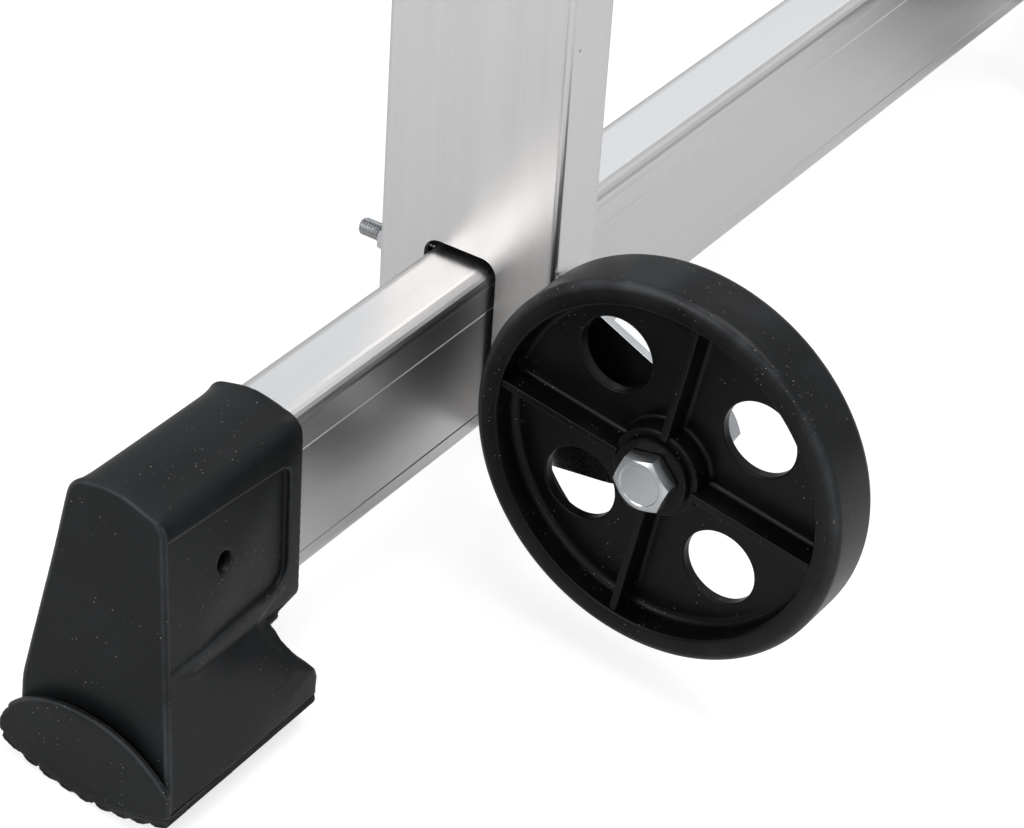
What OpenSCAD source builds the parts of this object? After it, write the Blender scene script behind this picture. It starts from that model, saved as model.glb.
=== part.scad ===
// Folding work platform: an aluminium deck on two ladder-shaped leg frames
// that fold in under it. Each leg frame has a base bar with a rocker foot at
// both ends, and one frame carries a pair of wheels.
// X runs along the base bars, Y along the deck, Z up. The origin is on the
// floor, at the centre of the outline of the whole platform.

/* [Deck] */
// Length of the deck over the rail caps
deck_l = 1500; // [1500:10:1800]
// Width of the deck over the side rails
deck_w = 400; // [380:10:560]
// Height of the standing surface above the floor
deck_top = 800; // [720:5:805]
// Height of the side rails and end members
rail_h = 70; // [64:1:80]
// Wall of the side rails, end members and crossbars
deck_wall = 2; // [1.6:0.2:3]
// Outer corner radius of the deck sections
deck_r = 3; // [2.4:0.2:4]
// Width of the end members, along the deck
end_w = 20; // [16:1:20]
// Thickness of the plastic caps on the rail ends
cap_t = 4; // [3:0.5:6]
// Depth of the plug of a rail cap inside its rail
cap_plug = 14; // [8:1:20]

/* [Planks] */
// Number of planks across the deck
plank_n = 4; // [3:1:5]
// Height of a plank without its tread ribs
plank_h = 25; // [22:1:30]
// Wall of a plank
plank_wall = 2; // [1.6:0.2:3]
// Gap beside each plank
plank_gap = 2; // [1:0.5:4]
// Width of the flanges under a plank
plank_flange = 16; // [12:1:20]
// Number of tread ribs on a plank
rib_n = 9; // [5:1:11]
// Width of a tread rib
rib_w = 3; // [2:0.5:4]
// Height of a tread rib
rib_h = 1.6; // [1:0.2:2.4]
// Number of crossbars under the planks
crossbar_n = 5; // [3:1:6]
// Width of a crossbar, along the deck
crossbar_w = 40; // [30:1:50]
// Height of a crossbar
crossbar_h = 20; // [16:1:24]
// Distance from a pivot to the nearest crossbar's centre
crossbar_inset = 76; // [72:1:100]
// Diameter of the plank rivets
rivet_d = 4.8; // [4:0.4:5.6]

/* [Hinges] */
// Distance of a pivot from the end of the deck
pivot_inset = 56; // [56:1:60]
// Distance of a pivot below the side rails
pivot_drop = 50; // [50:1:60]
// Diameter of the pivot bolts and the wheel axles
pivot_d = 10; // [8:1:10]
// Wall of the pivot bushes
bush_wall = 3; // [2:0.5:4]
// Thickness of the hinge plates
hinge_t = 4; // [3:0.5:5]
// Half width of a hinge plate where it lies on the rail
hinge_half = 31; // [30:1:31]
// Height of the part of a hinge plate that lies on the rail
hinge_up = 38; // [34:1:40]
// Gap between a stile and each hinge plate
hinge_gap = 1; // [0.6:0.2:2]
// Diameter of the bolts through the side rails
rail_bolt_d = 8; // [6:1:8]
// Distance of a rail bolt from the middle of its hinge plate
rail_bolt_y = 21; // [18:1:22]
// Distance of the rail bolts above the underside of the rail
rail_bolt_z = 20; // [16:1:22]
// Outer diameter of the stop sleeves
stop_d = 12; // [10:1:14]
// Distance of a stop sleeve from the pivot, along the stile
stop_down = 30; // [28:1:36]
// Gap between a stile and its stop sleeve
stop_gap = 0.3; // [0.3:0.1:0.6]
// Metal of a hinge plate round a stop sleeve and a lock housing
plate_edge = 3; // [2.5:0.5:4]

/* [Locks] */
// Gap between a lock pin and the stile that it holds
lock_gap = 0.4; // [0.4:0.1:0.8]
// Diameter of a lock pin
lock_pin_d = 8; // [6:1:8]
// Travel of a lock pin
lock_travel = 12; // [8:1:14]
// Width over the flats of a lock housing
lock_af = 19; // [17:1:21]
// Length of a lock housing outside the hinge plate
lock_l = 26; // [24:1:32]
// Wire diameter of a lock spring
lock_wire = 1; // [0.8:0.1:1.2]
// Number of turns of a lock spring
lock_turns = 4; // [3:1:5]
// Diameter of a lock knob
knob_d = 26; // [22:1:30]
// Length of a lock knob
knob_l = 14; // [12:1:16]

/* [Leg frames] */
// Lean of the leg frames, tops towards the middle
lean = 8; // [6:0.5:9]
// Width of a stile, along the deck
stile_w = 66; // [60:1:70]
// Thickness of a stile, along the base bar
stile_t = 23; // [21:1:26]
// Wall of a stile
stile_wall = 2; // [1.6:0.2:2.6]
// Outer corner radius of a stile
stile_r = 2.6; // [2:0.2:4]
// Width of the stile outside the base bar
stile_out = 23; // [21:1:25]
// Depth of the plugs in the lower end of a stile
plug_h = 4; // [3:0.5:5]
// Length of the stile above the pivot
stile_head = 25; // [22:1:28]
// Side of the square rungs
rung_w = 30; // [26:1:34]
// Wall of a rung
rung_wall = 1.6; // [1.4:0.2:2]
// Height of the lower rung above the base bar's underside
rung_first = 240; // [200:5:260]
// Distance between the rungs
rung_pitch = 255; // [220:5:270]
// Thickness of the collar beaded on a rung beside its stile
collar_t = 2.5; // [2:0.5:4]

/* [Base bars] */
// Thickness of a base bar, along the deck
bar_w = 24; // [22:1:26]
// Height of a base bar
bar_h = 60; // [56:1:64]
// Wall of a base bar
bar_wall = 1.8; // [1.4:0.2:2.2]
// Outer corner radius of a base bar
bar_r = 4.6; // [3.6:0.2:6]
// Height of the lower seam along the sides of a base bar
seam_low = 8; // [6:0.5:12]
// Height of the upper seam
seam_high = 45.5; // [40:0.5:48]
// Depth of those seams
seam_t = 0.3; // [0.2:0.1:0.5]
// Length of a base bar outside the stile
bar_out = 160; // [140:5:180]
// Gap beside the base bar in the stile's cut-out
cut_side = 1.5; // [1:0.1:2]
// Gap over the base bar in the stile's cut-out
cut_over = 2.9; // [2:0.1:3.5]
// Corner radius of the stile's cut-out
cut_r = 5.5; // [4:0.5:7]
// Diameter of the bolts through the base bars
bar_bolt_d = 6; // [5:1:8]
// Height of the bolts through the base bars
bar_bolt_z = 49; // [44:1:50]
// Length of a base bar bolt past the stile
bar_bolt_out = 14; // [12:1:15]

/* [Feet] */
// Distance from the end wall of a foot to the end of its base bar
foot_end_t = 9; // [6:1:11]
// Wall of a foot beside the base bar
foot_wall = 4.8; // [4:0.2:5.6]
// Wall of a foot over the middle of the base bar
foot_top_t = 4.4; // [3.6:0.2:5]
// Wall of a foot under the base bar
foot_low_t = 3; // [2.4:0.2:4]
// Gap between a foot and its base bar
foot_fit = 0.3; // [0.2:0.1:0.5]
// Length of base bar that a foot covers
foot_grip = 57; // [50:1:70]
// Half width of a foot at its sole
foot_half = 30.5; // [28:0.5:32]
// Half width of a foot at the top of its end wall
foot_top_half = 15.6; // [15:0.2:18]
// Amount that the top of its end wall stands out of its middle, towards the end of the deck
foot_skew = 2.2; // [0:0.2:2.4]
// Amount that the end wall of a foot runs out towards the sole
foot_draft = 12.5; // [8:0.5:16]
// Depth of the sole below the base bar's underside
sole_down = 37; // [33:0.5:40]
// Radius of the rocker sole
sole_r = 72; // [68:1:90]
// Distance of the sole's centre from the middle of the base bar, towards the end of the deck
sole_side = 3; // [0:1:6]
// Length of the neck cut in under the inner end of a foot
neck_in = 14.5; // [12:0.5:17]
// Distance of the block over the sole from the inner end of its foot
heel_in = 5; // [3:1:8]
// Depth of the sunk panel in the side of a foot
panel_t = 2.4; // [1.5:0.1:2.8]
// Distance of the sunk panel from the inner end of its foot
panel_in = 6.6; // [5:0.2:9]
// Thickness of the rubber tread
tread_t = 2.4; // [2.4:0.2:3.4]
// Number of grooves in the tread
groove_n = 8; // [4:2:10]
// Distance between the grooves
groove_pitch = 7; // [6:0.5:8]
// Diameter of the screw hole in the side of a foot
foot_hole_d = 7; // [5:0.5:8]

/* [Wheels] */
// Diameter of a wheel
wheel_d = 128; // [120:1:130]
// Width of a wheel's rim
wheel_w = 22; // [18:1:26]
// Gap between a wheel's rim and the stile
wheel_gap = 3.5; // [2:0.5:6]
// Distance of the axle outside the base bar
axle_out = 76.8; // [74:0.2:82]
// Height of the axle above the base bar's underside
axle_up = 30.5; // [28:0.5:34]
// Thickness of a wheel's rim, measured along the radius
rim_t = 8; // [6:0.5:10]
// Depth of a wheel's web behind the front of its rim
web_in = 9.5; // [7:0.5:12]
// Thickness of a wheel's web
web_t = 4; // [3:0.5:6]
// Diameter of a wheel's hub
hub_d = 30; // [28:1:34]
// Depth of the hub behind the front of the rim
hub_in = 2; // [1:0.5:4]
// Diameter of the flange of a wheel's bush
bush_flange_d = 25; // [22:1:27]
// Diameter of the holes in a wheel's web
hole_d = 25; // [20:1:26]
// Distance of the holes from the axle
hole_r = 36.5; // [34:0.5:38]
// Thickness of the ribs on a wheel's web
spoke_t = 2.6; // [1.8:0.2:4]
// Depth of the ribs behind the front of the rim
spoke_in = 1; // [0.5:0.5:4]
// Turn of a wheel's ribs from the level
spoke_turn = 10; // [0:1:45]
// Thickness of a wheel bracket
bracket_t = 3; // [2.5:0.5:4]
// Radius of a wheel bracket round the axle
nose_r = 11; // [10:0.5:14]
// Width of a wheel bracket's flange on the stile
flange_w = 20; // [18:1:21]
// Fall of that flange's upper edge
flange_fall = 8; // [4:1:9]
// Level of a wheel bracket's lower edge at the stile
bracket_low = -2.2; // [-4:0.2:-1]

/* [Hidden] */

// Finishes
alu = "#c9c8c6";
alu_dark = "#a9aaac";
zinc = "#d8dadb";
black = "#232526";

// Small clearances shared by every seat
fit = 0.1;
run_fit = 0.06;
through = 1;
arc_n = 6;

// Stile and pivot, in the leg frame: Y from the base bar's outer side, Z from its underside
stile_y0 = -stile_out;
stile_y1 = stile_w - stile_out;
stile_mid = (stile_y0 + stile_y1) / 2;
bar_mid = bar_w / 2;
rail_w = stile_t + 2 * hinge_gap;
rail_bottom = deck_top - rail_h;
pivot_z = rail_bottom - pivot_drop;
sole_up = sole_r - sole_down;
sole_mid = bar_mid - sole_side;
origin_z = sole_r + sole_mid * sin(lean) - sole_up * cos(lean);
pivot_up = (pivot_z - origin_z + stile_mid * sin(lean)) / cos(lean);
stile_top = pivot_up + stile_head;
pivot_y = deck_l / 2 - pivot_inset;
origin_y = pivot_y + stile_mid * cos(lean) + pivot_up * sin(lean);
corner_x = deck_w / 2 - hinge_gap;
fold = 90 + lean;

// Outline of the whole platform along Y, which sets the origin
sole_half = foot_half - fit;
foot_low = sole_up - sqrt(pow(sole_r, 2) - pow(sole_half - sole_side, 2));
reach_far = origin_y + (sole_half - bar_mid) * cos(lean) - foot_low * sin(lean);
reach_near = origin_y + axle_out * cos(lean) - axle_up * sin(lean) + wheel_d / 2;
deck_y = (reach_near - reach_far) / 2;

// Deck
deck_in = deck_w - 2 * rail_w;
rail_l = deck_l - 2 * cap_t;
plank_w = (deck_in - (plank_n + 1) * plank_gap) / plank_n;
plank_l = rail_l - 2 * end_w - 2 * plank_gap;
plank_top = deck_top - rib_h;
plank_bottom = plank_top - plank_h;
crossbar_y = pivot_y - crossbar_inset;
rivet_head_h = 1.4;

// Fastener proportions, by nominal diameter
function head_af(d) = d == 10 ? 17 : d == 8 ? 13 : d == 6 ? 10 : 1.65 * d;
function head_h(d) = 0.64 * d;
function nut_h(d) = 0.85 * d;
function washer_d(d) = 2.1 * d;
washer_t = 1.6;
thread_out = 3;

// Locks, measured from the pivot. The pin stands beside the stile's inner edge, at a place that
// is just as far from that edge when the leg frame is down as from the other edge when it is folded
lock_off = stile_w / 2 + lock_pin_d / 2 + lock_gap;
lock_y = lock_off / tan(fold / 2);
lock_z = -lock_off;
lock_rest = 0.5;
lock_bore = lock_pin_d + 2 * (lock_wire + 1);
ring_t = 2;
ring_gap = 0.5;
lock_floor = 3;
lock_hex = 9;

// Feet
foot_x0 = foot_grip - bar_out;
foot_x1 = -bar_out - foot_end_t;
foot_toe = foot_x1 - foot_draft;
foot_top = bar_h + foot_top_t;
foot_side_half = bar_mid + foot_wall;
foot_r = 6.5;
foot_low_r = 4;
foot_edge = 1;
heel_r = 2.5;
end_tilt = atan(foot_draft / (foot_top + sole_down));
crown_z = foot_top - 3.5;
crown_rise = 4.1;
crown_r = 25;
block_top = -20;
heel_top = -21;
heel_half = foot_half - 2;
heel_x = foot_x0 - heel_in;
neck_x = foot_x0 - neck_in;
neck_lean = 1.5;
neck_mid_z = -12;
panel_low = 8;
panel_over = 10;
panel_past = 20;
panel_rise = 0.09;
panel_r = 6;
shoulder_z = 6;
ledge_z = 14;
toe_t = 1.5;
lens_r = 40;
lens_top = -5.2;
lens_side = 1.5;
tread_r = sole_r - tread_t;
groove_r = 2.4;
groove_t = 1.3;
hole_z = 34;
hole_floor = 1;

// Wheels: X from the stile's outer face
rim_back = -wheel_gap;
rim_front = rim_back - wheel_w;
hub_front = rim_front + hub_in;
bush_flange_t = 2;
bush_d = pivot_d + 4;
axle_washer_t = 2;
axle_y = -axle_out;
recess_r = wheel_d / 2 - rim_t;
bush_gap = 0.3;

// Points on an arc about c, from angle a to angle b
function arc(c, r, a, b, n = arc_n) =
    [for (i = [0:n]) c + r * [cos(a + (b - a) * i / n), sin(a + (b - a) * i / n)]];

// The outline p with its corners rounded by the radii r
function unit(v) = v / norm(v);
function turn(a, b) = let (d = b - a) d > 180 ? d - 360 : d < -180 ? d + 360 : d;
function corner(a, b, c, r, n) =
    let (u = unit(a - b), v = unit(c - b), half = acos(u * v) / 2,
        mid = b + unit(u + v) * r / sin(half),
        p = b + u * r / tan(half) - mid, q = b + v * r / tan(half) - mid,
        start = atan2(p.y, p.x))
    arc(mid, r, start, start + turn(start, atan2(q.y, q.x)), n);
function rounded(p, r, n = arc_n) =
    [for (i = [0:len(p) - 1])
        each r[i] == 0 ? [p[i]]
            : corner(p[(i + len(p) - 1) % len(p)], p[i], p[(i + 1) % len(p)], r[i], n)];
function box(x0, y0, x1, y1) = [[x0, y0], [x1, y0], [x1, y1], [x0, y1]];
function round_box(x0, y0, x1, y1, r) = rounded(box(x0, y0, x1, y1), [r, r, r, r]);

// Extrusions of a flat outline: (Y, Z) along X, (X, Z) along Y and (X, Y) along Z
module along_x(x0, x1) translate([x0, 0, 0]) rotate([90, 0, 90]) linear_extrude(x1 - x0) children();
module along_y(y0, y1) translate([0, y1, 0]) rotate([90, 0, 0]) linear_extrude(y1 - y0) children();
module along_z(z0, z1) translate([0, 0, z0]) linear_extrude(z1 - z0) children();

// A round rod along X or Y
module rod_x(x0, x1, d) along_x(x0, x1) circle(d = d, $fn = 48);
module rod_y(y0, y1, d) translate([0, y0, 0]) rotate([-90, 0, 0]) cylinder(d = d, h = y1 - y0, $fn = 48);

// A tube section with rounded corners
module tube_section(x0, y0, x1, y1, r, wall)
    difference() {
        polygon(round_box(x0, y0, x1, y1, r));
        polygon(round_box(x0 + wall, y0 + wall, x1 - wall, y1 - wall, max(r - wall, 0.4)));
    }

// Placing: the deck, the near and far leg frames, and the left and right corners
module on_deck() translate([0, deck_y, 0]) children();
module far_end() mirror([0, 1, 0]) children();
module at_pivot() translate([0, -pivot_y, pivot_z]) children();
module near_leg() on_deck() translate([0, -origin_y, origin_z]) rotate([-lean, 0, 0]) children();
module far_leg() on_deck() far_end() translate([0, -origin_y, origin_z]) rotate([-lean, 0, 0]) children();
module left() translate([-corner_x, 0, 0]) children();
module right() mirror([1, 0, 0]) left() children();
module four_pivots() on_deck() {
    at_pivot() { left() children(); right() children(); }
    far_end() at_pivot() { left() children(); right() children(); }
}

// A hexagon bolt along +Z, its head below Z = 0
module hex_bolt(d, length, washer = true) {
    seat = washer ? washer_t : 0;
    translate([0, 0, -seat - head_h(d)])
        cylinder(d = head_af(d) / cos(30), h = head_h(d), $fn = 6);
    if (washer) translate([0, 0, -seat]) cylinder(d = washer_d(d), h = seat, $fn = 48);
    translate([0, 0, -seat]) cylinder(d = d, h = length + seat, $fn = 48);
}

// A flange nut along +Z on a bolt of diameter d, its flange on Z = 0
module flange_nut(d)
    difference() {
        union() {
            cylinder(d = washer_d(d), h = washer_t, $fn = 48);
            cylinder(d = head_af(d) / cos(30), h = nut_h(d), $fn = 6);
        }
        translate([0, 0, -through]) cylinder(d = d + 2 * fit, h = nut_h(d) + 2 * through, $fn = 48);
    }

// Deck

module deck_rail()
    difference() {
        along_y(-rail_l / 2, rail_l / 2)
            tube_section(-deck_w / 2, rail_bottom, -deck_w / 2 + rail_w, deck_top, deck_r, deck_wall);
        rail_bolt_holes();
    }

module rail_bolt_holes()
    for (end = [-1, 1], side = [-1, 1])
        translate([0, end * pivot_y + side * rail_bolt_y, rail_bottom + rail_bolt_z])
            rod_x(-deck_w / 2 - through, -deck_in / 2 + through, rail_bolt_d + 2 * fit);

module deck_rail_left() color(alu) on_deck() deck_rail();
module deck_rail_right() color(alu) on_deck() mirror([1, 0, 0]) deck_rail();

module end_member()
    along_x(-deck_in / 2, deck_in / 2)
        translate([-rail_l / 2, 0])
            tube_section(0, rail_bottom, end_w, deck_top, deck_r, deck_wall);

module deck_end_member_near() color(alu) on_deck() end_member();
module deck_end_member_far() color(alu) on_deck() far_end() end_member();

module deck_crossbars() color(alu_dark) on_deck()
    for (i = [0:crossbar_n - 1])
        translate([0, crossbar_y * (2 * i / (crossbar_n - 1) - 1), 0])
            along_x(-deck_in / 2, deck_in / 2)
                tube_section(-crossbar_w / 2, plank_bottom - crossbar_h, crossbar_w / 2,
                    plank_bottom, deck_r, deck_wall);

// Plank section: a ribbed tread on four webs, the outer webs with feet turned in
module plank_section() {
    pitch = (plank_w - rib_w) / (rib_n - 1);
    translate([0, plank_top - plank_wall]) square([plank_w, plank_wall]);
    for (i = [0:rib_n - 1])
        translate([i * pitch, plank_top - fit]) square([rib_w, rib_h + fit]);
    for (side = [0, 1])
        translate([side * plank_w, 0]) mirror([side, 0, 0]) {
            translate([0, plank_bottom]) square([plank_wall, plank_h]);
            translate([0, plank_bottom]) square([plank_flange, plank_wall]);
            translate([plank_w / 3, plank_bottom + plank_h / 2])
                square([plank_wall, plank_h / 2]);
        }
}

module deck_plank(i) color(alu) on_deck()
    difference() {
        translate([plank_gap - deck_in / 2 + i * (plank_w + plank_gap), 0, 0])
            along_y(-plank_l / 2, plank_l / 2) plank_section();
        plank_rivet_places(i) cylinder(d = rivet_d + 2 * fit, h = 4 * plank_wall, center = true, $fn = 32);
    }

// Where the rivets of plank i go, at the top of the plank's turned-in feet
module plank_rivet_places(i)
    for (j = [0:crossbar_n - 1], side = [0, 1])
        translate([plank_gap - deck_in / 2 + i * (plank_w + plank_gap)
                + (side == 0 ? 0.6 * plank_flange : plank_w - 0.6 * plank_flange),
            crossbar_y * (2 * j / (crossbar_n - 1) - 1), plank_bottom + plank_wall])
            children();

module deck_plank_1() deck_plank(0);
module deck_plank_2() deck_plank(1);
module deck_plank_3() deck_plank(2);
module deck_plank_4() deck_plank(3);

module plank_rivets() color(alu) on_deck()
    for (i = [0:plank_n - 1])
        plank_rivet_places(i) {
            cylinder(d = 2 * rivet_d, h = rivet_head_h, $fn = 32);
            translate([0, 0, -plank_wall]) cylinder(d = rivet_d, h = plank_wall + fit, $fn = 32);
        }

module rail_caps() color(black) on_deck()
    for (end = [0, 1], side = [0, 1])
        mirror([0, end, 0]) mirror([side, 0, 0]) {
            along_y(-deck_l / 2, -rail_l / 2)
                polygon(round_box(-deck_w / 2, rail_bottom, -deck_w / 2 + rail_w, deck_top, deck_r));
            along_y(-rail_l / 2 - fit, -rail_l / 2 + cap_plug)
                tube_section(-deck_w / 2 + deck_wall + fit, rail_bottom + deck_wall + fit,
                    -deck_w / 2 + rail_w - deck_wall - fit, deck_top - deck_wall - fit,
                    max(deck_r - deck_wall, 0.4), deck_wall);
        }

// Hinges

// Centre of the stop sleeve, measured from the pivot
stop_off = stile_w / 2 + stop_d / 2 + stop_gap;
stop_y = -stop_down * sin(lean) - stop_off * cos(lean);
stop_z = -stop_down * cos(lean) + stop_off * sin(lean);

module hinge_plate(lock_hole) {
    top = pivot_drop + hinge_up;
    below_rail = pivot_drop - 5;
    stop_ring = stop_d / 2 + plate_edge;
    lock_ring = lock_af / 2 + plate_edge;
    difference() {
        polygon(rounded([
            [-hinge_half, top], [-hinge_half, below_rail], [stop_y - stop_ring, stop_z + stop_ring],
            [stop_y - stop_ring, stop_z - stop_ring], [lock_y + lock_ring, lock_z - lock_ring],
            [lock_y + lock_ring, lock_z + lock_ring], [hinge_half, below_rail], [hinge_half, top]],
            [8, 12, 12, stop_ring, lock_ring, 20, 12, 8]));
        circle(d = pivot_d + 2 * fit, $fn = 48);
        translate([stop_y, stop_z]) circle(d = bar_bolt_d + 2 * fit, $fn = 32);
        for (side = [-1, 1])
            translate([side * rail_bolt_y, pivot_drop + rail_bolt_z])
                circle(d = rail_bolt_d + 2 * fit, $fn = 32);
        if (lock_hole) translate([lock_y, lock_z]) circle(d = lock_pin_d + 2 * run_fit, $fn = 48);
    }
}

// The plates lie on the rail's two sides, measured from the stile's outer face
plate_out = -hinge_gap;
plate_in = stile_t + hinge_gap;

module hinge_plates_outer() color(zinc) four_pivots()
    along_x(plate_out - hinge_t, plate_out) hinge_plate(true);

module hinge_plates_inner() color(zinc) four_pivots()
    along_x(plate_in, plate_in + hinge_t) hinge_plate(false);

module hinge_bolts() color(zinc) four_pivots() {
    for (side = [-1, 1])
        translate([plate_out - hinge_t, side * rail_bolt_y, pivot_drop + rail_bolt_z])
            rotate([0, 90, 0])
                hex_bolt(rail_bolt_d, rail_w + 2 * hinge_t + nut_h(rail_bolt_d) + thread_out);
    translate([plate_out - hinge_t, stop_y, stop_z])
        rotate([0, 90, 0]) hex_bolt(bar_bolt_d, rail_w + 2 * hinge_t + nut_h(bar_bolt_d) + thread_out);
}

module hinge_nuts() color(zinc) four_pivots() {
    for (side = [-1, 1])
        translate([plate_in + hinge_t, side * rail_bolt_y, pivot_drop + rail_bolt_z])
            rotate([0, 90, 0]) flange_nut(rail_bolt_d);
    translate([plate_in + hinge_t, stop_y, stop_z]) rotate([0, 90, 0]) flange_nut(bar_bolt_d);
}

module stop_sleeves() color(zinc) four_pivots()
    translate([0, stop_y, stop_z]) along_x(plate_out, plate_in)
        difference() {
            circle(d = stop_d, $fn = 48);
            circle(d = bar_bolt_d + 2 * fit, $fn = 48);
        }

module pivot_bolts() color(zinc) four_pivots()
    translate([plate_out - hinge_t, 0, 0]) rotate([0, 90, 0])
        hex_bolt(pivot_d, rail_w + 2 * hinge_t + nut_h(pivot_d) + thread_out);

module pivot_nuts() color(zinc) four_pivots()
    translate([plate_in + hinge_t, 0, 0]) rotate([0, 90, 0]) flange_nut(pivot_d);

// Locks: a sprung pin in a housing on the outer hinge plate, stored drawn back. Pushed in, it
// crosses the space between the plates and holds the stile against the stop sleeve, or up when folded

lock_x0 = plate_out - hinge_t;
lock_x1 = lock_x0 - lock_l;
lock_tip = plate_out - lock_rest;
ring_x = lock_x0 - lock_travel - ring_t - ring_gap;
knob_x1 = lock_x1 - lock_travel - 1;
knob_x0 = knob_x1 - knob_l;
spring_x0 = lock_x1 + lock_floor + 0.2;
spring_x1 = ring_x - 0.2;

module at_locks() four_pivots() translate([0, lock_y, lock_z]) children();

module lock_housings() color(zinc) at_locks()
    difference() {
        union() {
            along_x(lock_x1, lock_x0) circle(d = lock_af - 2, $fn = 48);
            along_x(lock_x0 - lock_hex, lock_x0) circle(d = lock_af / cos(30), $fn = 6);
        }
        rod_x(lock_x1 + lock_floor, lock_x0 + through, lock_bore);
        rod_x(lock_x1 - through, lock_x0 + through, lock_pin_d + 2 * run_fit);
    }

// A lock's plain pin, the ring on it that the spring bears on, and its knob
module lock_pin() {
    seat = lock_pin_d + 2 * fit;
    rod_x(knob_x0 + knob_l / 3, lock_tip, lock_pin_d);
    difference() {
        rod_x(ring_x, ring_x + ring_t, lock_bore - 2 * run_fit);
        rod_x(ring_x - through, ring_x + ring_t + through, seat);
    }
    difference() {
        translate([knob_x0, 0, 0]) rotate([0, 90, 0]) rotate_extrude($fn = 64) polygon(knob_section());
        rod_x(knob_x0 + knob_l / 3 - fit, knob_x1 + through, seat);
    }
}

// Half section of a knob: a flat end, a rounded rim and a neck towards the housing
function knob_section() = rounded([
    [0, 0], [knob_d / 2, 0], [knob_d / 2, 0.6 * knob_l], [0.3 * knob_d, knob_l], [0, knob_l]],
    [0, 3, 3, 1, 0]);

// A helical spring of square-cut rings, from X = x0 to x1 about the X axis
module helix(x0, x1, r, wire, turns) {
    steps = 12;
    sides = 5;
    n = turns * steps;
    ring = [for (i = [0:n], j = [0:sides - 1])
        let (a = 360 * i / steps, b = 360 * j / sides, q = r + wire / 2 * cos(b))
        [x0 + wire / 2 + (x1 - x0 - wire) * i / n + wire / 2 * sin(b), q * cos(a), q * sin(a)]];
    tri = [for (i = [0:n - 1], j = [0:sides - 1])
        let (k = i * sides + j, m = i * sides + (j + 1) % sides)
        each [[k, k + sides, m], [m, k + sides, m + sides]]];
    polyhedron(ring, concat(tri, [[for (j = [0:sides - 1]) j]],
        [[for (j = [sides - 1:-1:0]) n * sides + j]]));
}

module lock_springs() color(alu_dark) at_locks()
    helix(spring_x0, spring_x1, (lock_pin_d + lock_bore) / 4, lock_wire, lock_turns);

module lock_pin_near_left() color(zinc) on_deck() at_pivot() left()
    translate([0, lock_y, lock_z]) lock_pin();
module lock_pin_near_right() color(zinc) on_deck() at_pivot() right()
    translate([0, lock_y, lock_z]) lock_pin();
module lock_pin_far_left() color(zinc) on_deck() far_end() at_pivot() left()
    translate([0, lock_y, lock_z]) lock_pin();
module lock_pin_far_right() color(zinc) on_deck() far_end() at_pivot() right()
    translate([0, lock_y, lock_z]) lock_pin();

// Leg frames

module stile()
    difference() {
        along_z(0, stile_top)
            tube_section(0, stile_y0, stile_t, stile_y1, stile_r, stile_wall);
        along_x(-through, stile_t + through)
            polygon(rounded(box(-cut_side, -through, bar_w + cut_side, bar_h + cut_over),
                [0, 0, cut_r, cut_r]));
        for (i = [0, 1])
            translate([0, stile_mid, rung_first + i * rung_pitch])
                along_x(stile_t / 2, stile_t + through)
                    polygon(round_box(-rung_w / 2 - fit, -rung_w / 2 - fit, rung_w / 2 + fit,
                        rung_w / 2 + fit, 3));
        translate([0, stile_mid, pivot_up])
            rod_x(-through, stile_t + through, pivot_d + 2 * bush_wall + 2 * fit);
        translate([stile_t / 2, 0, bar_bolt_z])
            rod_y(stile_y0 - through, stile_y1 + through, bar_bolt_d + 2 * fit);
        bracket_rivet_place()
            rod_y(-through, stile_wall + through, rivet_d + 2 * fit);
    }

module rung(i)
    translate([0, stile_mid, rung_first + i * rung_pitch]) {
        reach = corner_x - stile_wall - 1;
        along_x(-reach, reach)
            tube_section(-rung_w / 2, -rung_w / 2, rung_w / 2, rung_w / 2, 3, rung_wall);
        for (side = [0, 1])
            mirror([side, 0, 0])
                along_x(corner_x - stile_t - collar_t, corner_x - stile_t)
                    difference() {
                        polygon(round_box(-rung_w / 2 - collar_t, -rung_w / 2 - collar_t,
                            rung_w / 2 + collar_t, rung_w / 2 + collar_t, 5));
                        polygon(round_box(-rung_w / 2 + fit, -rung_w / 2 + fit,
                            rung_w / 2 - fit, rung_w / 2 - fit, 3));
                    }
    }

module base_bar()
    difference() {
        along_x(-corner_x - bar_out, corner_x + bar_out)
            difference() {
                tube_section(0, 0, bar_w, bar_h, bar_r, bar_wall);
                for (y = [0, bar_w], z = [seam_low, seam_high])
                    translate([y, z]) rotate(45) square(seam_t * sqrt(2), center = true);
            }
        for (side = [-1, 1])
            translate([side * (corner_x - stile_t / 2), 0, bar_bolt_z])
                rod_y(-through, bar_w + through, bar_bolt_d + 2 * fit);
    }

// Half width of a foot's end wall at height z
function end_half(z) =
    foot_top_half + (foot_half - foot_top_half) * (foot_top - z) / (foot_top + sole_down);

// Middle of a foot's end wall at height z
function end_mid(z) = bar_mid - foot_skew * (z + sole_down) / (foot_top + sole_down);

// Section of a foot: leaning sides under a crowned top, from the middle mid0 to the middle mid1
function foot_section(low, mid0, half0, mid1, half1, r) = rounded([
    [mid0 - half0, low], [mid0 + half0, low], [mid1 + half1, crown_z],
    [mid1, crown_z + crown_rise], [mid1 - half1, crown_z]], [r, r, foot_r, crown_r, foot_r]);

// Placing on the end wall of a foot, which runs out towards the sole
module on_end_wall()
    translate([foot_x1, 0, foot_top]) rotate([0, end_tilt, 0]) translate([0, 0, -foot_top]) children();

// The sleeve round the base bar, its sides drawn in by inset at the inner end. The end wall is
// a smaller face with its full section just behind it, so that its edges are bevelled
slab = 0.5;

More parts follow.
